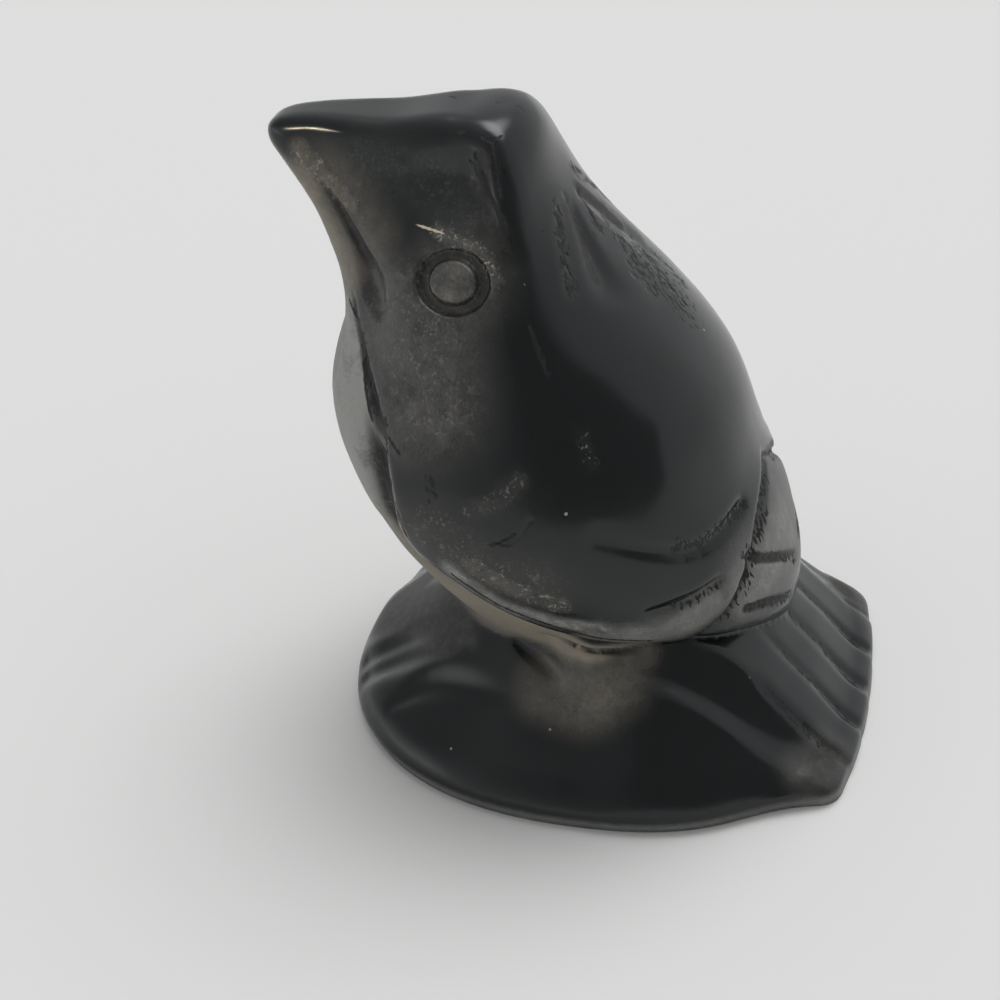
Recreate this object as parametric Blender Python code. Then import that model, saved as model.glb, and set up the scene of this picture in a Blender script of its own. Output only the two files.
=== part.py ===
"""A small bird carved from one piece of obsidian, sitting on its own low mound.

The bird faces -Y, its left side is +X, and Z is up. The origin is at the middle of the flat
underside. Both sides are cut alike, so every shape is worked out for the left side and mirrored.

The stone is roughed out from primitives, joined into one skin, and then drawn on to the carved
form. The form is a function of a point: negative inside the stone, zero on its surface and about
the distance to it outside. Sizes are in millimetres until the last step, which makes them metres.
"""

import bpy
import bmesh
import numpy as np
from mathutils import Matrix

MM = 0.001

# The bird's bulk, from below the belly to the crown:
# height, chest line, back line, line of greatest width, half-width
BODY = (
    (5.0, -7.4, 8.6, -1.0, 5.6),
    (9.0, -10.9, 9.6, -1.2, 8.8),
    (13.0, -13.7, 8.9, -2.2, 10.9),
    (17.0, -15.5, 7.3, -3.6, 11.7),
    (21.0, -16.3, 5.8, -4.8, 10.9),
    (25.0, -15.2, 2.8, -5.2, 9.3),
    (29.0, -13.3, -0.9, -5.4, 7.1),
    (32.5, -10.8, -3.3, -5.4, 4.9),
    (35.5, -8.2, -4.5, -6.0, 2.9),
    (38.0, -6.6, -5.4, -6.0, 1.4),
)
BODY_SQUARENESS = 2.15
BODY_GAIN = 0.85
BODY_FOOT = (4.0, 1.0)
CROWN = (36.1, 2.0)

# The head is a wedge: a narrow flat brow, a beak that runs down into the chest, sloping cheeks
BEAK_FRONT = ((25.0, -13.7), (28.5, -15.4), (31.5, -17.1), (34.5, -19.6), (36.5, -21.2))
BROW_TOP = (
    (-20.0, 35.1), (-17.5, 35.87), (-12.0, 36.18), (-8.0, 36.65), (-6.0, 36.1), (-4.5, 34.6), (-3.2, 32.1),
)
BROW_Z = 36.5
BROW_TIP = (-18.5, 1.2)
BROW_BACK = (-6.0, 2.8)
BROW_ROUND = 0.6
BEAK_ROUND = 2.2
CHEEK_SPREAD = (0.22, 0.55)
CHEEK_RUN = (-17.0, -9.0)
CHEEK_DEPTH = (9.0, 2.0)
HEAD_BACK = (-4.2, 2.0)
HEAD_FOOT = (22.0, 3.0)
HEAD_GAIN = 0.9
HEAD_BLEND = 1.6

# The hollow between beak and neck ends against a crease that leans back as it rises
CREASE_TOP = (-6.0, 35.9)
CREASE_LEAN = 0.26
SCOOP_DEPTH = 1.1
SCOOP_START = (-0.2, 0.6)
SCOOP_END = (0.4, 9.0)
SCOOP_SLANT = 0.165
SCOOP_TOP = (-0.4, 2.0)
SCOOP_FOOT = (2.4, 5.4)

# The ringed eye
EYE = (6.9, -7.5, 29.7)
EYE_RING = 1.55
EYE_RING_HALF = 0.34
EYE_DEPTH = 0.45
EYE_WALLS = (0.6, 1.3)
EYE_NEAR = 2.0

# The folded wing stands proud of the chest and belly; its edge seen from the side and from behind
WING_PROUD = 0.7
WING_PROUD_BEHIND = 0.5
WING_TURN = (3.0, 7.0)
WING_CORNER = 2.5
WING_GAIN = 0.9
WING_ROUND = 0.8
WING_BLEND = 0.15
SHOULDER_RISE = (19.0, 26.0)
SHOULDER_RUN = (-10.0, -2.0)
WING_FRONT = ((12.0, -10.5), (16.0, -10.6), (19.0, -10.8), (22.0, -11.3), (24.6, -12.3), (27.0, -13.1))
WING_LOW = ((-10.0, 14.6), (-8.1, 14.0), (-5.9, 12.6), (-3.7, 11.3), (-1.6, 10.3), (0.6, 9.7), (6.0, 9.1))
WING_LOW_BEHIND = ((0.0, 5.9), (2.0, 6.8), (4.0, 7.7), (6.0, 8.4), (8.0, 8.9))
CHANNEL_WIDTH = 0.75
CHANNEL_DEPTH = 0.75
CHANNEL_ASIDE = 0.7
CHANNEL_FOOT = (12.0, 15.0)
CHANNEL_HEAD = (19.0, 22.5)
CREVICE_WIDTH = 0.28
CREVICE_DEPTH = 0.45
CREVICE_ASIDE = 0.35
CREVICE_HEAD = (13.0, 16.0)

# The rump lies in an upturned V between the wing tips: height and half-width
RUMP = (
    (9.0, 7.8), (10.2, 7.2), (11.5, 6.5), (13.1, 5.5), (14.0, 4.6), (15.0, 3.3), (16.6, 0.0), (17.6, -2.0),
)
RUMP_GAIN = 0.8
RUMP_FRONT_Y = 2.0
OUTSIDE = -5.0
RUMP_LINE_WIDTH = 0.38
RUMP_LINE_DEPTH = 0.5
RUMP_LINE_START = (-0.2, 0.6)
RUMP_LINE_FADE = 0.7
RUMP_LINE_END = (15.0, 16.6)

# The mound, an oval with a soft rim, and the tail that runs down its back and out past it
MOUND_Y = -0.4
MOUND_HALF = 14.5
MOUND_FRONT = 16.0
MOUND_BACK = 14.2
MOUND_SQUARENESS = (2.25, 2.45)
MOUND_HIGH = 8.0
MOUND_NARROWING = 0.52
MOUND_FLARE = 1.333
MOUND_GAIN = 0.7
OUTLINE_GAIN = 0.93
RIM_HEIGHT = 2.0
RIM_ROUND = 1.4
RIM_UNDERCUT = 0.35
RIM_UNDERCUT_HEIGHT = 0.9
ROOT_Z = -1.5
ROOT_ROUND = 0.8
TAIL_HALF = 9.8
TAIL_FOOT_HALF = 10.2
TAIL_END = 15.15
TAIL_ARC = 50.0
TAIL_CORNER = 1.2
TAIL_START = (5.0, 1.0)
TAIL_BLEND = 2.5
TAIL_TOP = (4.9, 10.2)
TAIL_TOP_ROUND = 3.0
TAIL_FALL = 1.06
TAIL_FLANK = 1.1
TAIL_FLANK_ROUND = 0.8
TAIL_STEP = (6.5, 9.2, 3.0)
TAIL_BORDER = (0.3, 9.7, 0.6)
TAIL_BOW = (5.9, 4.0, 0.9)
TAIL_SEAT = 2.0
FEATHER_LINES = (0.0, 3.4, 6.9)
FEATHER_FAN = (0.04, 10.0)
FEATHER_WIDTH = 0.4
FEATHER_DEPTH = 0.45
FEATHER_START = (8.0, 9.5)

# The leg swells between belly and mound
LEG_TOP = (7.6, -0.4, 8.4)
LEG_FOOT = (8.0, 0.4, 6.0)
LEG_RADII = (2.0, 2.2)
LEG_BLEND = 1.5
STAND_BLEND = 0.5

# Lines cut by the wheel: three points each, then width and depth at its start, middle and end
CUTS = (
    # crease behind the scoop
    ((2.8, -6.0, 35.9), (4.6, -5.3, 33.0), (6.0, -4.6, 30.6), (0.16, 0.2, 0.3), (0.12, 0.25, 0.15)),
    # mouth, from near the tip to its soft corner, and the long hollow it runs out into
    ((2.0, -16.7, 33.8), (3.5, -14.2, 31.2), (5.0, -12.7, 29.4), (0.15, 0.25, 0.4), (0.1, 0.3, 0.3)),
    ((4.4, -13.3, 30.0), (5.5, -12.3, 28.7), (6.3, -11.7, 27.6), (0.4, 0.7, 0.6), (0.15, 0.75, 0.35)),
    # edge of the shoulder down to the channel
    ((5.6, -13.3, 26.2), (7.2, -12.4, 24.3), (9.7, -11.0, 21.6), (0.15, 0.18, 0.3), (0.25, 0.3, 0.35)),
    # notch between neck and shoulder
    ((0.9, -2.6, 31.2), (2.8, -0.7, 28.9), (4.0, 0.6, 27.2), (0.3, 0.8, 1.3), (0.25, 0.5, 0.25)),
    # long feather over the wing tip
    ((4.8, 7.7, 16.3), (8.8, 5.6, 15.7), (11.6, 0.9, 17.7), (0.35, 0.45, 0.6), (0.4, 0.3, 0.1)),
    # short feather below it
    ((8.0, 6.9, 13.2), (9.2, 5.7, 12.8), (10.5, 3.5, 12.6), (0.3, 0.35, 0.4), (0.35, 0.3, 0.1)),
    # two shallow bars over the rump
    ((5.6, 8.2, 13.4), (3.6, 9.1, 12.2), (0.9, 10.0, 10.8), (0.3, 0.3, 0.3), (0.2, 0.22, 0.1)),
    ((6.1, 7.9, 10.4), (4.6, 9.0, 9.9), (2.2, 9.8, 8.7), (0.3, 0.3, 0.3), (0.2, 0.22, 0.1)),
    # dent in front of the leg
    ((8.1, -4.7, 7.8), (8.7, -3.3, 7.3), (9.2, -2.3, 7.0), (0.3, 0.5, 0.6), (0.25, 0.5, 0.25)),
    # three toes
    ((4.0, -15.4, 2.0), (4.5, -12.2, 4.5), (6.1, -8.7, 6.8), (0.5, 0.5, 0.4), (0.5, 0.5, 0.1)),
    ((5.4, -14.9, 2.0), (5.9, -12.0, 4.2), (7.3, -7.9, 6.5), (0.5, 0.55, 0.4), (0.5, 0.5, 0.1)),
    ((8.6, -12.2, 2.6), (8.4, -9.8, 4.3), (9.9, -4.9, 5.4), (0.3, 0.7, 0.5), (0.15, 0.5, 0.1)),
)
CUT_POINTS = 10
CUT_ROUNDS = 10
CUT_REACH = 3
FLATTEST = 0.1
TINY = 1e-9
FAR = 1e9

# The first blocks, each near its finished size: centre and radii, or centre, size and tilt
BALLS = (
    ((0.0, -3.5, 17.0), (11.5, 12.0, 12.0)),
    ((0.0, -7.0, 29.0), (7.0, 7.0, 8.0)),
)
BLOCKS = (
    ((0.0, -13.0, 33.0), (4.0, 12.0, 5.0), -0.1),
    ((0.0, 8.5, 3.5), (19.0, 12.0, 3.0), -0.75),
)
FOOT_BLOCK_TOP = 8.0
FOOT_BLOCK_HEIGHT = 9.5
FOOT_BLOCK_Z = 3.2

# How fine the skin is made, and how many triangles the finished solid keeps
ROUGH_CELL = 0.7
FINE_CELL = 0.26
ROUGH_ROUNDS = 8
FINE_ROUNDS = 4
EVENINGS = 3
TRIANGLES = 9000

STONE_COLOUR = (0.012, 0.013, 0.014, 1.0)
STONE_ROUGHNESS = 0.16


def blend_min(a, b, k):
    """The lower of two values, rounded over a width k."""
    h = np.clip(0.5 + 0.5 * (b - a) / k, 0.0, 1.0)
    return b + (a - b) * h - k * h * (1.0 - h)


def blend_max(a, b, k):
    return -blend_min(-a, -b, k)


def ramp(start, end, t):
    u = np.clip((t - start) / (end - start), 0.0, 1.0)
    return u * u * (3.0 - 2.0 * u)


def bell(t, width):
    return np.exp(-(t / width) ** 2)


def curve(t, points):
    """A smooth curve through (place, value) points, flat beyond both ends."""
    knots, values = np.array(points, float).T
    steps = np.diff(values) / np.diff(knots)
    slopes = np.concatenate((steps[:1], (steps[:-1] + steps[1:]) / 2, steps[-1:]))
    t = np.clip(t, knots[0], knots[-1])
    i = np.clip(np.searchsorted(knots, t, side="right") - 1, 0, len(knots) - 2)
    h = knots[i + 1] - knots[i]
    u = (t - knots[i]) / h
    start = (1 + 2 * u) * (1 - u) ** 2 * values[i] + u * (1 - u) ** 2 * h * slopes[i]
    end = u * u * (3 - 2 * u) * values[i + 1] + u * u * (u - 1) * h * slopes[i + 1]
    return start + end


def finger(x, y, z, top, foot, radii):
    """A tapered rod with round ends."""
    a = np.array(top)
    d = np.array(foot) - a
    x, y, z = x - a[0], y - a[1], z - a[2]
    t = np.clip((x * d[0] + y * d[1] + z * d[2]) / (d @ d), 0.0, 1.0)
    away = np.sqrt((x - t * d[0]) ** 2 + (y - t * d[1]) ** 2 + (z - t * d[2]) ** 2)
    return away - radii[0] - (radii[1] - radii[0]) * t


def torso(x, y, z):
    """The smooth egg of the body and neck."""
    front, back, middle, half = (curve(z, [(row[0], row[k]) for row in BODY]) for k in (1, 2, 3, 4))
    reach = np.where(y < middle, middle - front, back - middle)
    p = BODY_SQUARENESS
    rho = ((x / half) ** p + (np.abs(y - middle) / reach) ** p) ** (1 / p)
    skin = (rho - 1) * half * BODY_GAIN
    skin = blend_max(skin, z - CROWN[0], CROWN[1])
    return blend_max(skin, BODY_FOOT[0] - z, BODY_FOOT[1])


def head(x, y, z):
    """Beak, brow and cheeks, as one wedge."""
    front = (curve(z, BEAK_FRONT) - y) * HEAD_GAIN
    top = (z - curve(y, BROW_TOP)) * HEAD_GAIN
    along = (y - BROW_TIP[0]) / (BROW_BACK[0] - BROW_TIP[0])
    brow = BROW_TIP[1] + (BROW_BACK[1] - BROW_TIP[1]) * along
    spread = CHEEK_SPREAD[0] + (CHEEK_SPREAD[1] - CHEEK_SPREAD[0]) * ramp(*CHEEK_RUN, y)
    depth = blend_min(BROW_Z - z, *CHEEK_DEPTH)
    side = (x - brow - spread * depth) * HEAD_GAIN
    skin = blend_max(side, top, BROW_ROUND)
    skin = blend_max(skin, front, BEAK_ROUND)
    skin = blend_max(skin, y - HEAD_BACK[0], HEAD_BACK[1])
    return blend_max(skin, HEAD_FOOT[0] - z, HEAD_FOOT[1])


def wing_inside(x, y, z):
    """How far a point lies inside the folded wing's edge."""
    front = y - curve(z, WING_FRONT)
    behind = ramp(*WING_TURN, y)
    edge = curve(y, WING_LOW) * (1 - behind) + curve(x, WING_LOW_BEHIND) * behind
    return blend_min(front, z - edge, WING_CORNER) * WING_GAIN


def rump_inside(x, y, z):
    """How far a point lies inside the rump's V."""
    return np.where(y > RUMP_FRONT_Y, (curve(z, RUMP) - x) * RUMP_GAIN, OUTSIDE)


def scoop(x, y, z):
    """Depth of the hollow between beak and crease."""
    ahead = CREASE_TOP[0] + (CREASE_TOP[1] - z) * CREASE_LEAN - y
    drop = CREASE_TOP[1] + SCOOP_SLANT * (y - CREASE_TOP[0]) - z
    near = ramp(*SCOOP_START, ahead) * (1 - ramp(*SCOOP_END, ahead))
    return SCOOP_DEPTH * near * ramp(*SCOOP_TOP, drop) * (1 - ramp(*SCOOP_FOOT, drop))


def bird(x, y, z):
    """The bird without its mound: body, raised wings, rump and head."""
    core = torso(x, y, z)
    inside = wing_inside(x, y, z)
    shoulder = ramp(*SHOULDER_RISE, z) * (1 - ramp(*SHOULDER_RUN, y))
    proud = WING_PROUD + (WING_PROUD_BEHIND - WING_PROUD) * ramp(*WING_TURN, y)
    wing = blend_max(core - proud * (1 - shoulder), -inside, WING_ROUND)
    skin = blend_min(core, wing, WING_BLEND)
    line = ramp(*RUMP_LINE_START, inside) * (1 - RUMP_LINE_FADE * ramp(*RUMP_LINE_END, z))
    skin = skin + RUMP_LINE_DEPTH * bell(rump_inside(x, y, z), RUMP_LINE_WIDTH) * line
    channel = bell(inside + CHANNEL_ASIDE, CHANNEL_WIDTH)
    channel = channel * ramp(*CHANNEL_FOOT, z) * (1 - ramp(*CHANNEL_HEAD, z))
    crevice = bell(inside + CREVICE_ASIDE, CREVICE_WIDTH) * (1 - ramp(*CREVICE_HEAD, z))
    skin = skin + CHANNEL_DEPTH * channel + CREVICE_DEPTH * crevice
    return blend_min(skin + scoop(x, y, z), head(x, y, z) + scoop(x, y, z), HEAD_BLEND)


def base_outline(x, y):
    """The foot's edge from above, and the mound's own measure: 0 at its middle, 1 at its rim."""
    along = y - MOUND_Y
    reach = np.where(along < 0, MOUND_FRONT, MOUND_BACK)
    p = np.where(along < 0, *MOUND_SQUARENESS)
    rho = ((x / MOUND_HALF) ** p + (np.abs(along) / reach) ** p) ** (1 / p)
    end = np.hypot(x, y - TAIL_END + TAIL_ARC) - TAIL_ARC
    fan = blend_max(x - TAIL_FOOT_HALF, end, TAIL_CORNER)
    fan = blend_max(fan, TAIL_START[0] - y, TAIL_START[1])
    return blend_min((rho - 1.0) * MOUND_HALF * OUTLINE_GAIN, fan, TAIL_BLEND), rho


def foot(x, y, z):
    """The mound and the tail, as a height above the flat underside."""
    outline, rho = base_outline(x, y)
    rise = np.clip((1.0 - rho) / MOUND_NARROWING, 0.0, 1.0)
    mound = RIM_HEIGHT + MOUND_HIGH * rise ** MOUND_FLARE
    fall = TAIL_TOP[1] - (y - TAIL_TOP[0]) * TAIL_FALL
    step = TAIL_STEP[2] * ramp(TAIL_STEP[0], TAIL_STEP[1], x)
    border = TAIL_BORDER[0] * bell(x - TAIL_BORDER[1], TAIL_BORDER[2])
    shift = FEATHER_FAN[0] * (y - FEATHER_FAN[1])
    lines = sum(bell(x - line - shift, FEATHER_WIDTH) for line in FEATHER_LINES)
    top = fall - step + border - FEATHER_DEPTH * lines * ramp(*FEATHER_START, y)
    flank = TAIL_FLANK * blend_max(x - TAIL_HALF, 0.0, TAIL_FLANK_ROUND)
    bow = TAIL_BOW[2] * blend_max(TAIL_BOW[0] - y, 0.0, TAIL_BOW[1])
    tail = blend_min(top, TAIL_TOP[1], TAIL_TOP_ROUND) - flank - bow
    skin = (z - blend_max(mound, tail, TAIL_SEAT)) * MOUND_GAIN
    outline = outline + RIM_UNDERCUT * (1 - ramp(0.0, RIM_UNDERCUT_HEIGHT, z))
    return blend_max(blend_max(skin, outline, RIM_ROUND), ROOT_Z - z, ROOT_ROUND)


def smooth_form(x, y, z):
    """Bird, mound and tail before the fine lines are cut, reaching down past the underside."""
    x = np.abs(x)
    stand = blend_min(foot(x, y, z), finger(x, y, z, LEG_TOP, LEG_FOOT, LEG_RADII), LEG_BLEND)
    return blend_min(bird(x, y, z), stand, STAND_BLEND)


def slope(field, p, step=0.02):
    """The direction in which the field grows fastest, at each row of p."""
    sides = []
    for k in range(3):
        shift = np.zeros(3)
        shift[k] = step
        sides.append((field(*(p + shift).T) - field(*(p - shift).T)) / (2 * step))
    return np.stack(sides, 1)


def drawn_to(field, p, rounds, stride=0.6):
    """Points moved along the slope until they lie on the surface."""
    p = np.array(p, float)
    for _ in range(rounds):
        g = slope(field, p)
        move = (field(*p.T) / np.maximum((g * g).sum(1), FLATTEST))[:, None] * g
        length = np.maximum(np.linalg.norm(move, axis=1), TINY)[:, None]
        p -= move * np.minimum(1.0, stride / length)
    return p


def cut_line(start, middle, end):
    """An arc through three points, laid on the smooth form."""
    s = np.linspace(0.0, 1.0, CUT_POINTS)
    points = [curve(s, ((0.0, a), (0.5, b), (1.0, c))) for a, b, c in zip(start, middle, end)]
    return drawn_to(smooth_form, np.stack(points, 1), CUT_ROUNDS)


def beside(p, line):
    """Where along a line each row of p lies, from 0 to 1, and how far from it."""
    away = np.full(len(p), FAR)
    place = np.zeros(len(p))
    for i, (a, b) in enumerate(zip(line[:-1], line[1:])):
        t = np.clip((p - a) @ (b - a) / ((b - a) @ (b - a)), 0.0, 1.0)
        here = np.linalg.norm(p - a - t[:, None] * (b - a), axis=1)
        place = np.where(here < away, (i + t) / (len(line) - 1), place)
        away = np.minimum(here, away)
    return place, away


def cut_depth(p, line, widths, depths):
    """How deep one tapered line is cut at each row of p."""
    reach = CUT_REACH * max(widths)
    near = np.all((p > line.min(0) - reach) & (p < line.max(0) + reach), axis=1)
    depth = np.zeros(len(p))
    place, away = beside(p[near], line)
    stops = (0.0, 0.5, 1.0)
    width = curve(place, tuple(zip(stops, widths)))
    depth[near] = curve(place, tuple(zip(stops, depths))) * bell(away, width)
    return depth


def eye_depth(p, centre, outward):
    """A flat-bottomed ring around the eye."""
    d = p - centre
    out = d @ outward
    radius = np.sqrt(np.maximum((d * d).sum(1) - out * out, 0.0))
    walls = [EYE_RING_HALF * share for share in EYE_WALLS]
    ring = 1 - ramp(*walls, np.abs(radius - EYE_RING))
    return EYE_DEPTH * ring * bell(out, EYE_NEAR)


def carved_form():
    """The finished form, with every line laid on the smooth form first."""
    lines = [(cut_line(*row[:3]), row[3], row[4]) for row in CUTS]
    eye = drawn_to(smooth_form, [EYE], CUT_ROUNDS)
    eye_out = slope(smooth_form, eye)[0]
    eye_out /= np.linalg.norm(eye_out)

    def form(x, y, z):
        p = np.stack((np.abs(x), y, z), 1)
        skin = smooth_form(x, y, z) + eye_depth(p, eye[0], eye_out)
        for line, widths, depths in lines:
            skin = skin + cut_depth(p, line, widths, depths)
        return skin

    return form


def rough_stone():
    """The first blocks: body, head, beak, mound and tail, each near its finished size."""
    stone = bmesh.new()

    def ball(centre, radii):
        place = Matrix.Translation(centre) @ Matrix.Diagonal((*radii, 1.0))
        bmesh.ops.create_uvsphere(stone, u_segments=32, v_segments=16, radius=1.0, matrix=place)

    def block(centre, size, tilt):
        place = Matrix.Translation(centre) @ Matrix.Rotation(tilt, 4, "X") @ Matrix.Diagonal((*size, 1.0))
        bmesh.ops.create_cube(stone, size=1.0, matrix=place)

    for centre, radii in BALLS:
        ball(centre, radii)
    for centre, size, tilt in BLOCKS:
        block(centre, size, tilt)
    place = Matrix.Translation((0.0, MOUND_Y, FOOT_BLOCK_Z))
    bmesh.ops.create_cone(stone, cap_ends=True, segments=64, radius1=MOUND_HALF, radius2=FOOT_BLOCK_TOP,
                          depth=FOOT_BLOCK_HEIGHT, matrix=place)
    bmesh.ops.recalc_face_normals(stone, faces=stone.faces)
    mesh = bpy.data.meshes.new("rough stone")
    stone.to_mesh(mesh)
    stone.free()
    return mesh


def with_modifier(mesh, kind, **settings):
    """The mesh as it is after one modifier."""
    holder = bpy.data.objects.new("holder", mesh)
    bpy.context.scene.collection.objects.link(holder)
    modifier = holder.modifiers.new(kind.title(), kind)
    for name, value in settings.items():
        setattr(modifier, name, value)
    seen = holder.evaluated_get(bpy.context.evaluated_depsgraph_get())
    result = bpy.data.meshes.new_from_object(seen)
    bpy.data.objects.remove(holder)
    return result


def draw_mesh(mesh, field, rounds):
    """Moves every vertex of the mesh on to the form."""
    flat = np.empty(len(mesh.vertices) * 3)
    mesh.vertices.foreach_get("co", flat)
    mesh.vertices.foreach_set("co", drawn_to(field, flat.reshape(-1, 3), rounds).ravel())
    mesh.update()


def sawn_flat(mesh):
    """The mesh cut off at the underside and closed there."""
    stone = bmesh.new()
    stone.from_mesh(mesh)
    everything = stone.verts[:] + stone.edges[:] + stone.faces[:]
    cut = bmesh.ops.bisect_plane(stone, geom=everything, dist=0.0001, plane_co=(0, 0, 0),
                                 plane_no=(0, 0, -1), clear_outer=True)
    edges = [piece for piece in cut["geom_cut"] if isinstance(piece, bmesh.types.BMEdge)]
    bmesh.ops.contextual_create(stone, geom=edges)
    bmesh.ops.triangulate(stone, faces=stone.faces)
    bmesh.ops.recalc_face_normals(stone, faces=stone.faces)
    stone.to_mesh(mesh)
    stone.free()


def carved_mesh():
    """The rough stone made one skin, drawn in and evened out, and thinned to the triangles it needs."""
    form = carved_form()
    mesh = with_modifier(rough_stone(), "REMESH", mode="VOXEL", voxel_size=ROUGH_CELL)
    draw_mesh(mesh, smooth_form, ROUGH_ROUNDS)
    mesh = with_modifier(mesh, "REMESH", mode="VOXEL", voxel_size=FINE_CELL)
    draw_mesh(mesh, form, FINE_ROUNDS)
    for _ in range(EVENINGS):
        mesh = with_modifier(mesh, "SMOOTH", factor=0.5, iterations=3)
        draw_mesh(mesh, form, FINE_ROUNDS)
    sawn_flat(mesh)
    ratio = TRIANGLES / len(mesh.polygons)
    mesh = with_modifier(mesh, "DECIMATE", ratio=ratio, use_symmetry=True, symmetry_axis="X")
    mesh.transform(Matrix.Scale(MM, 4))
    return mesh


def stone_material():
    material = bpy.data.materials.new("black obsidian")
    material.use_nodes = True
    shader = material.node_tree.nodes["Principled BSDF"]
    shader.inputs["Base Color"].default_value = STONE_COLOUR
    shader.inputs["Roughness"].default_value = STONE_ROUGHNESS
    shader.inputs["Metallic"].default_value = 0.0
    return material


def main():
    for thing in list(bpy.data.objects):
        bpy.data.objects.remove(thing)
    mesh = carved_mesh()
    mesh.name = "bird_carving"
    mesh.shade_smooth()
    mesh.materials.clear()
    mesh.materials.append(stone_material())
    carving = bpy.data.objects.new("bird_carving", mesh)
    bpy.context.scene.collection.objects.link(carving)


main()
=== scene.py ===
"""Looks of the obsidian bird carving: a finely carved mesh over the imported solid, its stone, the
light, the floor and the camera.

The form repeats the part's named sizes, in millimetres: the bird faces -Y, its left side is +X.
A few differ a little here, to suit the photo: brow, eye, scoop, toes, feather lines and tail end.
The solid's own mesh is the stone that the fine form is drawn on, so the two keep one place and size.
"""

import math

import bmesh
import bpy
import numpy as np
from mathutils import Matrix
from mathutils import Vector
from mathutils import noise


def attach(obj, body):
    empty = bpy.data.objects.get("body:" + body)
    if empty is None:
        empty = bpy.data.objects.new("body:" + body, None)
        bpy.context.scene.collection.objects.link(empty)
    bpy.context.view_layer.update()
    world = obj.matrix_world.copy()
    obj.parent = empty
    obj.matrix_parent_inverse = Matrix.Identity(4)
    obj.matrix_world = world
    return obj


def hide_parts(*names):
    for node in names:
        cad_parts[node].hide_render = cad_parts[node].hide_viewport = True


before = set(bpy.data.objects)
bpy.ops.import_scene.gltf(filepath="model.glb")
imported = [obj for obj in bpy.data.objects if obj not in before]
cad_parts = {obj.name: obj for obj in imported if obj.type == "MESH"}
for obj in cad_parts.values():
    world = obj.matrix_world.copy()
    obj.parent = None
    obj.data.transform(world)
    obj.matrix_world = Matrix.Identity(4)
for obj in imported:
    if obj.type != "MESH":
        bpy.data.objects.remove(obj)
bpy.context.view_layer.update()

MM = 0.001

# The bird's bulk, from below the belly to the crown:
# height, chest line, back line, line of greatest width, half-width
BODY = (
    (5.0, -7.4, 8.6, -1.0, 5.6),
    (9.0, -10.9, 9.6, -1.2, 8.8),
    (13.0, -13.7, 8.9, -2.2, 10.9),
    (17.0, -15.5, 7.3, -3.6, 11.7),
    (21.0, -16.3, 5.8, -4.8, 10.9),
    (25.0, -15.2, 2.8, -5.2, 9.3),
    (29.0, -13.3, -0.9, -5.4, 7.1),
    (32.5, -10.8, -3.3, -5.4, 4.9),
    (35.5, -8.2, -4.5, -6.0, 2.9),
    (38.0, -6.6, -5.4, -6.0, 1.4),
)
BODY_SQUARENESS = 2.15
BODY_GAIN = 0.85
BODY_FOOT = (4.0, 1.0)
CROWN = (36.1, 2.0)

# The head is a wedge: a narrow flat brow, a beak that runs down into the chest, sloping cheeks
BEAK_FRONT = ((25.0, -13.7), (28.5, -15.4), (31.5, -17.1), (34.5, -19.6), (36.5, -21.2))
BROW_TOP = (
    (-20.0, 35.1), (-17.5, 35.87), (-12.0, 36.18), (-8.0, 36.65), (-6.0, 36.1), (-4.5, 34.6), (-3.2, 32.1),
)
BROW_Z = 36.5
BROW_TIP = (-18.5, 1.2)
BROW_BACK = (-6.0, 2.8)
BROW_ROUND = 0.85
BEAK_ROUND = 2.2
CHEEK_SPREAD = (0.22, 0.55)
CHEEK_RUN = (-17.0, -9.0)
CHEEK_DEPTH = (9.0, 2.0)
HEAD_BACK = (-4.2, 2.0)
HEAD_FOOT = (22.0, 3.0)
HEAD_GAIN = 0.9
HEAD_BLEND = 1.6

# The hollow between beak and neck ends against a crease that leans back as it rises
CREASE_TOP = (-6.0, 35.9)
CREASE_LEAN = 0.26
SCOOP_DEPTH = 1.1
SCOOP_START = (-0.2, 1.8)
SCOOP_END = (0.4, 9.0)
SCOOP_SLANT = 0.165
SCOOP_TOP = (-0.4, 2.0)
SCOOP_FOOT = (2.4, 5.4)

# The ringed eye
EYE = (6.9, -7.5, 29.7)
EYE_RING = 1.55
EYE_RING_HALF = 0.34
EYE_STRETCH = (1.12, 0.92)
EYE_DEPTH = 0.45
EYE_WALLS = (0.6, 1.3)
EYE_NEAR = 2.0

# The folded wing stands proud of the chest and belly; its edge seen from the side and from behind
WING_PROUD = 0.7
WING_PROUD_BEHIND = 0.5
WING_TURN = (3.0, 7.0)
WING_CORNER = 2.5
WING_GAIN = 0.9
WING_ROUND = 0.8
WING_BLEND = 0.15
SHOULDER_RISE = (19.0, 26.0)
SHOULDER_RUN = (-10.0, -2.0)
WING_FRONT = ((12.0, -10.5), (16.0, -10.6), (19.0, -10.8), (22.0, -11.3), (24.6, -12.3), (27.0, -13.1))
WING_LOW = ((-10.0, 14.6), (-8.1, 14.0), (-5.9, 12.6), (-3.7, 11.3), (-1.6, 10.3), (0.6, 9.7), (6.0, 9.1))
WING_LOW_BEHIND = ((0.0, 5.9), (2.0, 6.8), (4.0, 7.7), (6.0, 8.4), (8.0, 8.9))
CHANNEL_WIDTH = 0.75
CHANNEL_DEPTH = 0.75
CHANNEL_ASIDE = 0.7
CHANNEL_FOOT = (12.0, 15.0)
CHANNEL_HEAD = (19.0, 22.5)
CREVICE_WIDTH = 0.28
CREVICE_DEPTH = 0.45
CREVICE_ASIDE = 0.35
CREVICE_HEAD = (13.0, 16.0)

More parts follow.
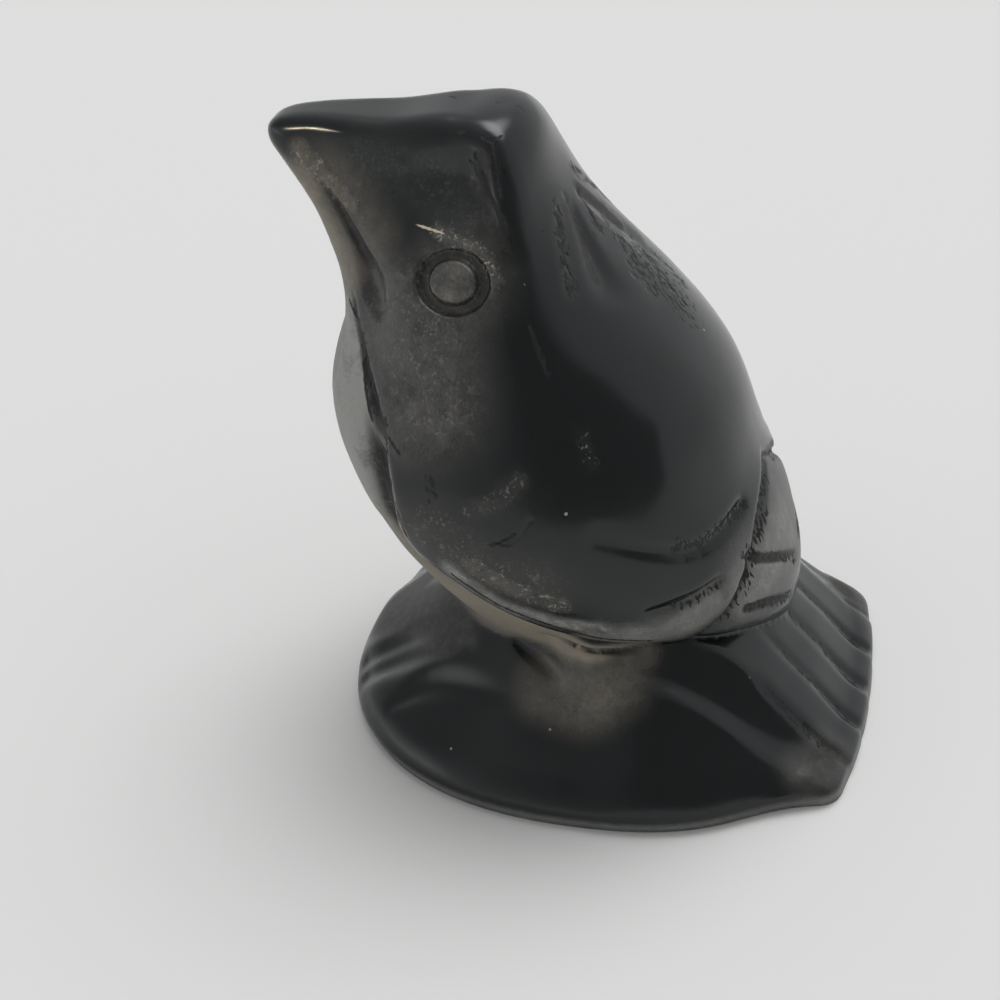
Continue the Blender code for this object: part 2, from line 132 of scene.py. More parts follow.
# The rump lies in an upturned V between the wing tips: height and half-width
RUMP = (
    (9.0, 7.8), (10.2, 7.2), (11.5, 6.5), (13.1, 5.5), (14.0, 4.6), (15.0, 3.3), (16.6, 0.0), (17.6, -2.0),
)
RUMP_GAIN = 0.8
RUMP_FRONT_Y = 2.0
OUTSIDE = -5.0
RUMP_LINE_WIDTH = 0.38
RUMP_LINE_DEPTH = 0.5
RUMP_LINE_START = (-0.2, 0.6)
RUMP_LINE_FADE = 0.7
RUMP_LINE_END = (15.0, 16.6)

# The mound, an oval with a soft rim, and the tail that runs down its back and out past it
MOUND_Y = -0.4
MOUND_HALF = 14.5
MOUND_FRONT = 16.0
MOUND_BACK = 14.2
MOUND_SQUARENESS = (2.25, 2.45)
MOUND_HIGH = 8.0
MOUND_NARROWING = 0.52
MOUND_FLARE = 1.333
MOUND_GAIN = 0.7
OUTLINE_GAIN = 0.93
RIM_HEIGHT = 2.0
RIM_ROUND = 1.4
RIM_UNDERCUT = 0.35
RIM_UNDERCUT_HEIGHT = 0.9
ROOT_Z = -1.5
ROOT_ROUND = 0.8
TAIL_HALF = 9.8
TAIL_FOOT_HALF = 10.2
TAIL_END = 15.15
TAIL_ARC = 50.0
TAIL_CORNER = 1.2
TAIL_START = (5.0, 1.0)
TAIL_BLEND = 2.5
TAIL_TOP = (4.9, 10.2)
TAIL_TOP_ROUND = 3.0
TAIL_FALL = 1.06
TAIL_FLANK = 1.1
TAIL_FLANK_ROUND = 0.8
TAIL_STEP = (6.5, 9.2, 3.0)
TAIL_BORDER = (0.3, 9.7, 0.6)
TAIL_BOW = (5.9, 4.0, 0.9)
TAIL_SEAT = 2.0
# The mound sinks below the tail's end, so that no ledge shows there: where it does, and how far
SINK_RUN = (11.0, 15.2)
SINK_DEPTH = 1.15
FEATHER_LINES = (0.0, 3.4, 6.9)
FEATHER_FAN = (0.04, 10.0)
FEATHER_WIDTH = 0.4
FEATHER_DEPTH = 0.32
FEATHER_START = (8.0, 9.5)

# The leg swells between belly and mound
LEG_TOP = (7.6, -0.4, 8.4)
LEG_FOOT = (8.0, 0.4, 6.0)
LEG_RADII = (2.0, 2.2)
LEG_BLEND = 1.5
STAND_BLEND = 0.5

# Lines cut by the wheel: three points each, then width and depth at its start, middle and end
CUTS = (
    # crease behind the scoop
    ((3.4, -5.87, 35.95), (4.1, -5.6, 35.05), (4.9, -5.25, 33.8), (0.16, 0.18, 0.16), (0.05, 0.09, 0.04)),
    # mouth, from near the tip to its soft corner, and the long hollow it runs out into
    ((2.4, -15.7, 33.0), (3.5, -14.2, 31.3), (5.0, -12.7, 29.4), (0.12, 0.22, 0.4), (0.03, 0.28, 0.3)),
    ((4.4, -13.3, 30.0), (5.5, -12.3, 28.7), (6.3, -11.7, 27.6), (0.4, 0.7, 0.6), (0.15, 0.75, 0.35)),
    # edge of the shoulder down to the channel
    ((5.6, -13.3, 26.2), (7.2, -12.4, 24.3), (9.7, -11.0, 21.6), (0.15, 0.18, 0.3), (0.25, 0.3, 0.35)),
    # notch between neck and shoulder
    ((0.9, -2.6, 31.2), (2.8, -0.7, 28.9), (4.0, 0.6, 27.2), (0.3, 0.9, 1.6), (0.3, 0.5, 0.05)),
    # long feather over the wing tip
    ((4.8, 7.7, 16.3), (8.8, 5.6, 15.7), (11.6, 0.9, 17.7), (0.35, 0.45, 0.6), (0.4, 0.3, 0.1)),
    # short feather below it
    ((8.0, 6.9, 13.2), (9.2, 5.7, 12.8), (10.5, 3.5, 12.6), (0.3, 0.35, 0.4), (0.35, 0.3, 0.1)),
    # two shallow bars over the rump
    ((5.6, 8.2, 13.4), (3.6, 9.1, 12.2), (0.9, 10.0, 10.8), (0.3, 0.3, 0.3), (0.2, 0.22, 0.1)),
    ((6.1, 7.9, 10.4), (4.6, 9.0, 9.9), (2.2, 9.8, 8.7), (0.3, 0.3, 0.3), (0.2, 0.22, 0.1)),
    # dent in front of the leg
    ((8.1, -4.7, 7.8), (8.7, -3.3, 7.3), (9.2, -2.3, 7.0), (0.3, 0.5, 0.6), (0.25, 0.5, 0.25)),
    # three toes
    ((4.0, -15.4, 2.0), (4.5, -12.2, 4.5), (6.1, -8.7, 6.8), (0.7, 0.75, 0.6), (0.3, 0.4, 0.1)),
    ((5.4, -14.9, 2.0), (5.9, -12.0, 4.2), (7.3, -7.9, 6.5), (0.7, 0.8, 0.6), (0.3, 0.4, 0.1)),
    ((8.6, -12.2, 2.6), (8.4, -9.8, 4.3), (9.9, -4.9, 5.4), (0.4, 0.9, 0.6), (0.1, 0.36, 0.08)),
    # hollow between the scoop and its crease
    ((3.7, -6.4, 33.7), (5.3, -5.3, 32.3), (6.5, -4.6, 30.9), (0.3, 0.6, 0.8), (0.03, 0.14, 0.12)),
)
# A line's points, the rounds that draw it on to the form, and its reach in widths
CUT_POINTS = 10
CUT_ROUNDS = 10
CUT_REACH = 3
# The least slope, squared, that a step on to the form divides by; next to nothing; out of reach
FLATTEST = 0.1
TINY = 1e-9
FAR = 1e9

# The fine skin: its cell, below which height the stone is carried down, and the rounds of smoothing
CELL = 0.275
UNDERSIDE = 0.01
EVENINGS = 2
EVENING = 0.5
# It is made finer near narrow lines, the strokes, the eye and the wing's edge
FINE_WIDTH = 0.75
FINE_REACH = 0.7
STROKE_REACH = 0.6
EYE_REACH = 1.1
WING_FLOOR = 7.5
WING_BACK = 9.0
SEED = 7

# Small lines that only the fine skin carries, with the same columns as the cuts above
FINE_CUTS = (
    # second line under the wing's edge
    ((8.6, -3.0, 9.2), (9.0, 1.0, 8.6), (7.6, 4.2, 8.8), (0.14, 0.18, 0.14), (0.08, 0.2, 0.08)),
    # edge of the chest above the shoulder line
    ((4.9, -13.6, 27.6), (5.3, -13.4, 26.8), (5.6, -13.3, 26.2), (0.12, 0.15, 0.15), (0.05, 0.2, 0.25)),
)

# The tail's feather lines, where they run out over its end
TAIL_CUTS = (
    ((0.02, 12.2, 3.3), (0.04, 14.2, 1.9), (0.06, 15.2, 0.9), (0.3, 0.38, 0.34), (0.03, 0.12, 0.04)),
    ((3.5, 12.0, 3.4), (3.6, 14.0, 1.9), (3.7, 14.9, 0.9), (0.3, 0.38, 0.34), (0.03, 0.12, 0.04)),
    ((7.0, 11.4, 3.0), (7.1, 13.2, 1.7), (7.2, 14.3, 0.9), (0.3, 0.38, 0.34), (0.03, 0.12, 0.04)),
)

# Small lines on the near side alone
NEAR_CUTS = (
    # wedge of the notch
    ((0.9, -2.8, 32.2), (1.5, -1.95, 30.9), (2.4, -0.65, 29.1), (0.15, 0.35, 0.5), (0.08, 0.2, 0.05)),
    # small curve on the flank
    ((12.5, -4.6, 17.7), (12.5, -3.6, 17.7), (12.2, -2.6, 19.0), (0.12, 0.16, 0.12), (0.05, 0.12, 0.04)),
    # faint line down the shoulder
    ((7.9, -3.2, 28.2), (8.4, -2.7, 27.0), (9.1, -2.0, 25.7), (0.12, 0.15, 0.1), (0.08, 0.1, 0.04)),
    # scratch over the flank
    ((9.7, -1.2, 24.2), (10.0, 0.0, 22.9), (10.2, 0.9, 21.3), (0.12, 0.16, 0.1), (0.03, 0.06, 0.03)),
)

# Rows of short tool marks: first and last middle, scatter, how many, direction, length
NICK_ROWS = (
    ((-0.9, -2.35, 31.4), (0.1, -1.3, 29.9), 0.13, 7, (0.9, 1.0, -1.3), 0.7),
    ((-1.4, -0.2, 28.7), (0.6, 0.7, 27.5), 0.3, 14, (0.7, 1.0, -1.2), 0.7),
    ((-0.2, 1.0, 27.6), (0.9, 1.8, 26.6), 0.3, 9, (0.5, 1.0, -1.2), 0.6),
    ((-2.6, 0.4, 27.8), (-1.0, 3.0, 25.4), 0.3, 10, (0.4, 1.0, -1.0), 0.8),
    ((2.4, -2.9, 32.0), (5.6, -1.6, 28.9), 0.18, 16, (0.7, 0.5, -1.4), 0.5),
    ((5.9, 8.1, 13.7), (1.2, 9.9, 10.5), 0.06, 17, (0.0, 0.3, -1.0), 0.55),
    ((6.0, 8.0, 10.4), (2.6, 9.7, 8.8), 0.06, 13, (0.0, 0.3, -1.0), 0.5),
    ((-5.9, 8.1, 13.7), (-1.2, 9.9, 10.5), 0.06, 17, (0.0, 0.3, -1.0), 0.55),
    ((-6.0, 8.0, 10.4), (-2.6, 9.7, 8.8), 0.06, 13, (0.0, 0.3, -1.0), 0.5),
    ((9.4, -11.0, 22.2), (10.9, -9.9, 17.2), 0.2, 16, (0.3, 0.4, -1.6), 0.8),
    ((-9.4, -11.0, 22.2), (-10.9, -9.9, 17.2), 0.2, 12, (-0.3, 0.4, -1.6), 0.8),
)
NICK_WIDTH = (0.07, 0.12)
NICK_DEPTH = (0.07, 0.14)
NICK_NEAR = 0.26
# How unlike one another the marks of a row are, and how narrow and shallow a mark's ends are
NICK_SHIFT = 0.3
NICK_SWAY = 0.2
NICK_LENGTHS = (0.5, 1.1)
NICK_END_WIDTH = 0.6
NICK_END_DEPTH = 0.3
NICK_ROUNDS = 6

# Worked places: a row of points, its reach, then how matte, how brown and how pitted it is
PATCHES = (
    # cheek below the eye
    (((7.0, -10.2, 27.6), (8.2, -8.8, 26.2), (9.4, -8.2, 23.9)), 3.0, 0.28, 0.1, 0.45),
    # round the eye, and the chips above it
    (((6.9, -7.5, 29.7), (7.0, -7.4, 29.5)), 2.6, 0.24, 0.12, 0.3),
    (((5.1, -8.5, 31.6), (5.8, -7.0, 31.3), (6.7, -5.6, 30.9), (7.2, -5.3, 30.1)), 0.5, 0.3, 0.15, 1.0),
    # lower beak
    (((1.9, -16.9, 32.6), (2.4, -15.9, 30.6), (4.2, -14.0, 28.4)), 1.2, 0.2, 0.6, 0.2),
    # upper lip of the mouth
    (((1.9, -16.9, 34.3), (2.2, -16.2, 33.7), (2.8, -14.8, 32.7), (3.3, -13.9, 32.0)), 0.55, 0.1, 0.4, 1.0),
    # side of the beak
    (((2.4, -15.2, 33.4), (3.0, -14.0, 32.4), (4.6, -12.2, 30.6)), 1.4, 0.08, 0.2, 0.2),
    # scoop
    (((2.7, -13.0, 34.2), (3.3, -9.0, 33.7), (4.6, -7.2, 32.2)), 1.7, 0.13, 0.0, 0.26),
    # low on the wing's front
    (((11.6, -8.0, 17.6), (12.3, -5.7, 15.9), (12.1, -2.6, 14.9)), 1.9, 0.1, 0.05, 0.4),
    # lip of the wing
    (((11.8, -7.2, 15.0), (11.5, -4.6, 12.9), (11.3, -1.4, 11.8), (10.8, 1.2, 11.5)),
     0.65, 0.64, 0.06, 0.25),
    (((10.8, 0.6, 11.0), (10.1, 2.8, 10.7), (9.2, 4.8, 11.0), (8.2, 6.3, 11.8)), 1.25, 0.58, 0.06, 0.04),
    # leg
    (((9.8, -2.6, 6.2), (10.5, -0.4, 5.9), (9.9, 1.2, 7.0)), 1.7, 0.24, 0.3, 0.2),
    (((8.6, -2.4, 8.7), (9.0, -0.6, 8.4), (8.4, 2.2, 8.2)), 1.1, 0.2, 0.3, 0.15),
    # rump
    (((0.6, 9.8, 12.6), (3.4, 9.0, 12.2), (5.6, 8.1, 12.0)), 2.6, 0.64, 0.0, 0.06),
    # strip in front of the notch
    (((2.3, -2.9, 32.2), (3.8, -2.5, 31.0), (5.6, -1.6, 28.9)), 0.5, 0.12, 0.0, 0.25),
    # nape
    (((-2.4, -1.9, 30.7), (-1.2, 0.0, 28.5), (0.8, 1.8, 26.7)), 0.9, 0.1, 0.0, 0.12),
    # chest's front
    (((0.0, -15.9, 24.0), (0.0, -16.6, 20.0), (0.0, -14.6, 15.0)), 5.5, 0.3, 0.1, 0.1),
    # corner of the tail
    (((7.35, 13.3, 2.0), (8.4, 12.8, 2.0), (9.3, 12.0, 1.8)), 1.4, 0.22, 0.05, 0.0),
)
# Dull dark places on both sides: points, reach, how dull
DULL_PLACES = (
    # by the crease
    (((3.6, -6.25, 33.6), (4.66, -5.5, 33.1), (5.7, -4.96, 32.5), (6.3, -4.7, 31.5)), 0.42, 0.6),
    # in the notch
    (((1.3, -2.45, 31.6), (1.8, -1.95, 30.9), (2.6, -1.28, 29.8), (3.4, -0.55, 28.75)), 0.6, 0.8),
    # at the scoop's end
    (((3.4, -6.45, 35.2), (3.45, -6.2, 34.3), (4.0, -5.75, 33.3)), 0.55, 0.75),
    (((3.6, -6.0, 35.1), (3.75, -5.85, 34.4), (4.15, -5.65, 33.6)), 0.4, 0.75),
    (((3.51, -6.85, 33.6), (4.3, -6.1, 32.8), (5.39, -5.36, 32.2)), 0.5, 0.75),
    # at the tail's corner
    (((7.2, 13.3, 2.0), (8.2, 12.9, 2.0), (9.2, 12.2, 1.9)), 1.0, 0.62),
    # on the mound's front
    (((0.5, -14.6, 3.1), (2.4, -11.4, 5.8), (5.6, -9.3, 6.6)), 2.4, 0.8),
)
DULL_SOFTNESS = 0.9
# Scored places, where the tool left short dark strokes: a row of points, its reach, how thickly
SCORED = (
    (((-0.95, -2.4, 31.5), (-0.45, -1.8, 30.7), (0.1, -1.2, 29.9)), 0.32, 1.0),
    (((-1.9, -0.4, 28.9), (-0.9, 0.9, 27.6), (0.4, 2.0, 26.6)), 0.5, 0.85),
    (((-0.4, 3.4, 25.1), (-0.45, 3.0, 25.5)), 0.45, 1.0),
    (((-3.7, 1.0, 27.0), (-3.3, 3.0, 25.1)), 0.35, 0.9),
    (((-2.0, -0.6, 29.2), (-1.5, 1.6, 27.2), (-1.0, 3.2, 25.4)), 1.5, 0.68),
    (((8.0, -3.2, 28.1), (8.4, -2.7, 27.2), (9.1, -2.0, 25.7)), 0.14, 1.0),
    (((11.5, -8.0, 20.5), (11.8, -7.9, 19.4)), 0.35, 0.8),
)
# The same on both sides
BOTH_SCORED = (
    (((2.3, -2.95, 32.2), (3.56, -2.5, 31.1), (4.55, -2.05, 30.1), (5.4, -1.5, 28.9)), 0.4, 0.95),
    (((5.9, 8.1, 13.7), (3.6, 9.1, 12.2), (1.2, 9.9, 10.5)), 0.3, 1.0),
    (((6.0, 8.0, 10.4), (4.5, 9.0, 9.9), (2.6, 9.7, 8.8)), 0.3, 1.0),
    (((5.6, -13.3, 26.4), (7.2, -12.4, 24.3), (9.7, -11.0, 21.6)), 0.35, 0.75),
    (((9.5, -11.0, 22.0), (10.9, -9.9, 17.2)), 0.4, 0.8),
    (((9.4, 4.7, 16.2), (8.3, 5.7, 15.8), (6.7, 6.6, 16.1), (4.5, 7.6, 16.1)), 0.36, 0.95),
    (((9.8, 4.6, 12.7), (9.2, 5.3, 12.5), (7.7, 6.8, 13.1)), 0.22, 0.75),
    (((1.3, 8.2, 15.8), (3.9, 8.4, 14.2), (5.1, 8.1, 13.2), (6.0, 7.7, 11.8), (6.9, 6.9, 10.2)), 0.36, 0.8),
    (((0.0, 9.6, 5.3), (0.03, 12.0, 3.4), (0.05, 14.4, 1.9)), 0.2, 0.8),
    (((3.4, 9.6, 5.3), (3.5, 12.0, 3.4), (3.6, 14.2, 1.9)), 0.2, 0.8),
    (((6.9, 9.2, 4.8), (7.0, 11.0, 3.2), (7.1, 13.0, 1.8)), 0.2, 0.6),
)
# Thin dark lines of painted shade on both sides, along the crease behind the scoop, the line below it, the
# shoulder's edge and the wing's lower edge, and how much wider each is
CREASE_SHADE_LINES = (
    (((3.42, -5.87, 35.96), (3.7, -5.75, 35.6), (4.09, -5.59, 35.06), (4.9, -5.25, 33.8)), 0.0),
    (((3.5, -5.99, 34.3), (4.04, -5.72, 33.65), (4.94, -5.37, 33.2), (5.52, -5.1, 32.7),
      (5.91, -4.93, 32.1)), 0.06),
    (((4.66, -13.9, 27.0), (6.08, -12.88, 26.0), (7.38, -12.5, 23.7), (8.53, -11.9, 22.0)), 0.04),
    (((11.7, -7.25, 14.7), (11.5, -4.6, 12.75), (11.1, -1.5, 11.3), (10.4, 0.6, 10.5),
      (9.3, 3.2, 10.3)), 0.0),
)
# The same on the near side alone: the long ones painted shade along the crease's top, the shoulder's lines
# and the flank's small curve, the short ones small pits
NEAR_LINES = (
    (((3.19, -6.44, 36.16), (3.42, -5.87, 35.96), (2.98, -5.54, 36.18)), 0.0),
    (((8.0, -3.2, 28.1), (8.4, -2.7, 27.2), (9.05, -2.1, 25.9)), 0.0),
    (((8.2, -11.95, 23.0), (9.65, -10.88, 22.1), (10.6, -9.85, 21.3)), 0.0),
    (((12.5, -4.7, 17.4), (12.46, -4.0, 17.7), (12.42, -3.37, 18.2)), 0.0),
    (((-0.88, -9.21, 36.62), (-0.56, -8.8, 36.66)), 0.0),
    (((0.05, -6.48, 36.79), (0.07, -6.21, 36.76)), 0.0),
    (((0.02, -5.32, 36.56), (0.08, -4.99, 36.38)), 0.02),
    (((3.34, -6.75, 35.33), (3.32, -6.7, 35.14)), 0.02),
    (((3.23, -7.15, 34.87), (3.24, -7.05, 34.84)), 0.0),
    (((2.79, -7.8, 36.19), (2.8, -7.53, 36.27)), 0.0),
    (((4.47, -3.22, 31.72), (4.38, -3.09, 31.57)), 0.0),
    (((0.95, -1.28, 30.07), (0.91, -1.13, 29.88)), 0.0),
)
# A thin line's painted shade is dark up to the first distance from its middle and gone at the second
THIN_HALF = (0.07, 0.12)
# How far from a thin line the mesh still says how near it is
THIN_FADE = 0.5
# The short strokes run one way and are drawn out along it
SCORED_RUN = (0.32, 0.42, -0.85)
SCORED_STRETCH = 0.65
SCORED_SOFTNESS = 0.5
# How close together the points of a row are laid on the form
LAID_STEP = 0.5
# Worn places on the near side alone
NEAR_PATCHES = (
    # chips in the eye's lower rim
    (((6.8, -8.9, 29.4), (7.3, -8.1, 28.9), (7.6, -6.9, 28.8)), 0.16, 0.4, 0.1, 1.0),
    # chips low on the wing, and on the flank
    (((12.3, -5.9, 15.7), (12.2, -3.3, 14.3), (11.9, -1.4, 13.5)), 0.7, 0.24, 0.14, 0.9),
    (((9.9, -0.1, 22.9), (10.3, 0.3, 21.6)), 0.4, 0.08, 0.0, 0.6),
    (((12.1, -5.8, 19.2), (12.0, -4.2, 20.0), (11.6, -3.2, 21.0)), 0.5, 0.1, 0.04, 0.5),
)
# How strong the wear is on the far side, and how soft the edge between bird and mound is
FAR_SIDE = 0.8
ON_BIRD = 0.6
# Chest and belly, unpolished below the wing's edge: where they start and end, and how worn they are
BELOW_WING = (0.25, 0.7)
CHEST_FOOT = (11.0, 15.0)
CHEST_HEAD = (26.0, 29.5)
CHEST_BACK = (-9.5, -8.0)
CHEST_MIDDLE = 0.4
CHEST_SIDE = (1.5, 5.5)
CHEST_PITTED = 0.15
CHEST_BROWN = 0.7
CHEST_BROWN_HEAD = (13.5, 17.0)
BELLY_HEAD = (11.0, 16.0)
BELLY_BACK = (-1.0, 4.0)
BELLY_MATTE = 0.58
# The eye's disc and the base's rim
DISC_MATTE = 0.36
DISC_EDGE = (0.45, 0.25)
RIM_MATTE = 0.55
RIM_WORN = (0.5, 1.0)
# The cuts that stayed dull, by their place in the table, and how deep a fully dull one is
DULL_CUTS = (0, 1, 3, 7, 8)
CUT_FULL = 0.14
EYE_DULL = 0.17
# The channel, the crevice and the rump's line: how far up they are worn, and how dull and pitted
CHANNEL_WORN_HEAD = (19.0, 25.0)
CHANNEL_PITTED = 0.4
CHANNEL_DULL = 0.8
CREVICE_WORN_HEAD = (14.0, 17.0)
RUMP_WORN = 0.8
EDGE_DULL = 0.85
# The single painted glint: a pale warm line painted along a scratch above the eye, where light glints on
# its edge
GLINT_LINE = ((4.55, -10.55, 31.9), (4.8, -9.5, 31.7), (5.15, -8.15, 31.5))
GLINT_HALF = 0.075
GLINT_SOFTNESS = 0.5
# Pitted places are rough and the polish is slightly wavy, but not at the underside
ROUGH_DEPTH = 0.05
ROUGH_SIZE = 0.55
WAVE_DEPTH = 0.03
WAVE_SIZE = 3.0
WAVE_FOOT = (0.1, 0.6)
GRAIN_FALL = 0.6
GRAIN_GAIN = 1.2

# Noise in the stone: how fine per metre, its detail and its roughness
CLOUD = (450.0, 5.0, 0.65)
MOTTLE = (1500.0, 4.0, 0.7)
FINE = (6500.0, 3.0, 0.7)
CHIPS = (5200.0, 2.5, 0.6)
RUST = (900.0, 2.0, 0.5)
STROKES = (5400.0, 1.0, 0.5)
DUST_PER_METRE = 420.0
DUST_SIZE = 0.07
DUST_SHARE = 0.5
# Smooth changes: over which values, and from what to what where that isn't 0 to 1
CLOUD_SHADE = (0.28, 0.72, 0.6, 1.22)
MOTTLE_SHADE = (0.3, 0.7, 0.78, 1.2)
FINE_SHADE = (0.3, 0.7, 0.8, 1.2)
PITTED_SHADE = (0.0, 0.3, 0.4, 1.0)
POLISH = (0.3, 0.7, 0.15, 0.21)
CUT_EDGE = (0.2, 0.75)
CHIP_SWAY = (0.35, 0.7, -0.08, 0.08)
CHIP_EDGE = (0.585, 0.635)
CHIP_PITTED = (0.1, 0.9, 0.0, 0.7)
RUST_EDGE = (0.5, 0.58)
DIRT_MOTTLE = (0.42, 0.66)
DIRT_FINE = (0.35, 0.65, 0.4, 1.0)
STROKE_EDGE = (0.68, 0.72)
SCORED_EDGE = (0.05, 0.2)
THIN_SWAY = (0.3, 0.7, -0.12, 0.06)
GLINT_EDGE = (0.3, 0.8)
# How much each thing counts in the colour, in the roughness and in the height
SCORED_GAIN = 0.22
MATTE_LEAST = 0.25
RUST_GAIN = 0.6
MATTE_ROUGH = 0.5
BROWN_ROUGH = 0.3
CUT_ROUGH = 0.5
DUST_ROUGH = 0.8
STROKE_ROUGH = 0.6
CUT_WORKED = 0.7
MOTTLE_HIGH = 1.6
MOTTLE_LEAST = 0.05
CHIP_HIGH = 0.6
STROKE_DEEP = 3.0
STONE_IOR = 1.5
BUMP_DEPTH = 0.000018

BLACK = (0.0020, 0.0040, 0.0045, 1.0)
MATTE_COLOUR = (0.32, 0.318, 0.304, 1.0)
BROWN_COLOUR = (0.27, 0.234, 0.182, 1.0)
CUT_COLOUR = (0.003, 0.003, 0.003, 1.0)
DIRT_COLOUR = (0.034, 0.031, 0.026, 1.0)
FLECK_COLOUR = (0.34, 0.33, 0.30, 1.0)
RUST_COLOUR = (0.16, 0.10, 0.06, 1.0)
GLINT_COLOUR = (0.62, 0.54, 0.40, 1.0)
DUST_COLOUR = (0.32, 0.315, 0.30, 1.0)

# The dark card: half its size, how far along the view it stands, how far aside and up, its turn
FLAG_HALF = (180.0, 72.0)
FLAG_DISTANCE = 121.0
FLAG_ASIDE = (110.0, -20.0)
FLAG_ROLL = 2.0
FLAG_COLOUR = (0.36, 0.36, 0.36, 1.0)
FLAG_EDGE = 0.35

SHEET_ROUGHNESS = 0.9
SHEET_SHINE = 0.1
FLOOR_HALF = 1.5
FLOOR_COLOUR = (0.783, 0.783, 0.769, 1.0)
SKY_COLOUR = (0.68, 0.685, 0.69, 1.0)
# Parts of the surroundings: azimuth, elevation, how wide in degrees, how many times as bright
LOBES = (
    (256.0, 66.0, 27.0, 6.4),
    (0.0, 90.0, 48.0, 1.15),
    (15.0, -7.0, 34.0, 2.2),
    (355.0, 30.0, 42.0, 0.5),
    (280.0, 8.0, 50.0, 0.82),
    (95.0, 42.0, 66.0, 0.5),
)
# The small lamp, whose narrow beam meets the beak's ridge
LAMP_SIZE = 1.1
LAMP_POWER = 0.4
LAMP_COLOUR = (1.0, 0.86, 0.66)
LAMP_PLACE = (47.0, 29.0)
LAMP_DISTANCE = 300.0
LAMP_AIM = (1.38, -17.7, 35.6)
LAMP_CONE = 0.15
LAMP_SOFTNESS = 0.5

# Camera: the photograph's viewing angle
VIEW_AZIMUTH = 105.0
VIEW_ELEVATION = 33.0
VIEW_ROLL = -3.0
VIEW_DISTANCE = 118.0
VIEW_TARGET = (0.0, -7.4, 11.9)
LENS = 72.0
SENSOR = 36.0
NEAREST_SEEN = 0.001


def blend_min(a, b, k):
    """The lower of two values, rounded over a width k."""
    h = np.clip(0.5 + 0.5 * (b - a) / k, 0.0, 1.0)
    return b + (a - b) * h - k * h * (1.0 - h)


def blend_max(a, b, k):
    """The higher of two values, rounded over a width k."""
    return -blend_min(-a, -b, k)


def ramp(start, end, t):
    """A smooth rise from 0 at start to 1 at end."""
    u = np.clip((t - start) / (end - start), 0.0, 1.0)
    return u * u * (3.0 - 2.0 * u)


def bell(t, width):
    """1 at zero, fading to 0 on both sides."""
    return np.exp(-(t / width) ** 2)


def curve(t, points):
    """A smooth curve through (place, value) points, flat beyond both ends."""
    knots, values = np.array(points, float).T
    steps = np.diff(values) / np.diff(knots)
    slopes = np.concatenate((steps[:1], (steps[:-1] + steps[1:]) / 2, steps[-1:]))
    t = np.clip(t, knots[0], knots[-1])
    i = np.clip(np.searchsorted(knots, t, side="right") - 1, 0, len(knots) - 2)
    h = knots[i + 1] - knots[i]
    u = (t - knots[i]) / h
    start = (1 + 2 * u) * (1 - u) ** 2 * values[i] + u * (1 - u) ** 2 * h * slopes[i]
    end = u * u * (3 - 2 * u) * values[i + 1] + u * u * (u - 1) * h * slopes[i + 1]
    return start + end


def finger(x, y, z, top, foot, radii):
    """A tapered rod with round ends."""
    a = np.array(top)
    d = np.array(foot) - a
    x, y, z = x - a[0], y - a[1], z - a[2]
    t = np.clip((x * d[0] + y * d[1] + z * d[2]) / (d @ d), 0.0, 1.0)
    away = np.sqrt((x - t * d[0]) ** 2 + (y - t * d[1]) ** 2 + (z - t * d[2]) ** 2)
    return away - radii[0] - (radii[1] - radii[0]) * t


def torso(x, y, z):
    """The smooth egg of the body and neck."""
    front, back, middle, half = (curve(z, [(row[0], row[k]) for row in BODY]) for k in (1, 2, 3, 4))
    reach = np.where(y < middle, middle - front, back - middle)
    p = BODY_SQUARENESS
    rho = ((x / half) ** p + (np.abs(y - middle) / reach) ** p) ** (1 / p)
    skin = (rho - 1) * half * BODY_GAIN
    skin = blend_max(skin, z - CROWN[0], CROWN[1])
    return blend_max(skin, BODY_FOOT[0] - z, BODY_FOOT[1])


def head(x, y, z):
    """Beak, brow and cheeks, as one wedge."""
    front = (curve(z, BEAK_FRONT) - y) * HEAD_GAIN
    top = (z - curve(y, BROW_TOP)) * HEAD_GAIN
    along = (y - BROW_TIP[0]) / (BROW_BACK[0] - BROW_TIP[0])
    brow = BROW_TIP[1] + (BROW_BACK[1] - BROW_TIP[1]) * along
    spread = CHEEK_SPREAD[0] + (CHEEK_SPREAD[1] - CHEEK_SPREAD[0]) * ramp(*CHEEK_RUN, y)
    depth = blend_min(BROW_Z - z, *CHEEK_DEPTH)
    side = (x - brow - spread * depth) * HEAD_GAIN
    skin = blend_max(side, top, BROW_ROUND)
    skin = blend_max(skin, front, BEAK_ROUND)
    skin = blend_max(skin, y - HEAD_BACK[0], HEAD_BACK[1])
    return blend_max(skin, HEAD_FOOT[0] - z, HEAD_FOOT[1])


def wing_inside(x, y, z):
    """How far a point lies inside the folded wing's edge."""
    front = y - curve(z, WING_FRONT)
    behind = ramp(*WING_TURN, y)
    edge = curve(y, WING_LOW) * (1 - behind) + curve(x, WING_LOW_BEHIND) * behind
    return blend_min(front, z - edge, WING_CORNER) * WING_GAIN


def rump_inside(x, y, z):
    """How far a point lies inside the rump's V."""
    return np.where(y > RUMP_FRONT_Y, (curve(z, RUMP) - x) * RUMP_GAIN, OUTSIDE)


def scoop(x, y, z):
    """Depth of the hollow between beak and crease."""
    ahead = CREASE_TOP[0] + (CREASE_TOP[1] - z) * CREASE_LEAN - y
    drop = CREASE_TOP[1] + SCOOP_SLANT * (y - CREASE_TOP[0]) - z
    near = ramp(*SCOOP_START, ahead) * (1 - ramp(*SCOOP_END, ahead))
    return SCOOP_DEPTH * near * ramp(*SCOOP_TOP, drop) * (1 - ramp(*SCOOP_FOOT, drop))


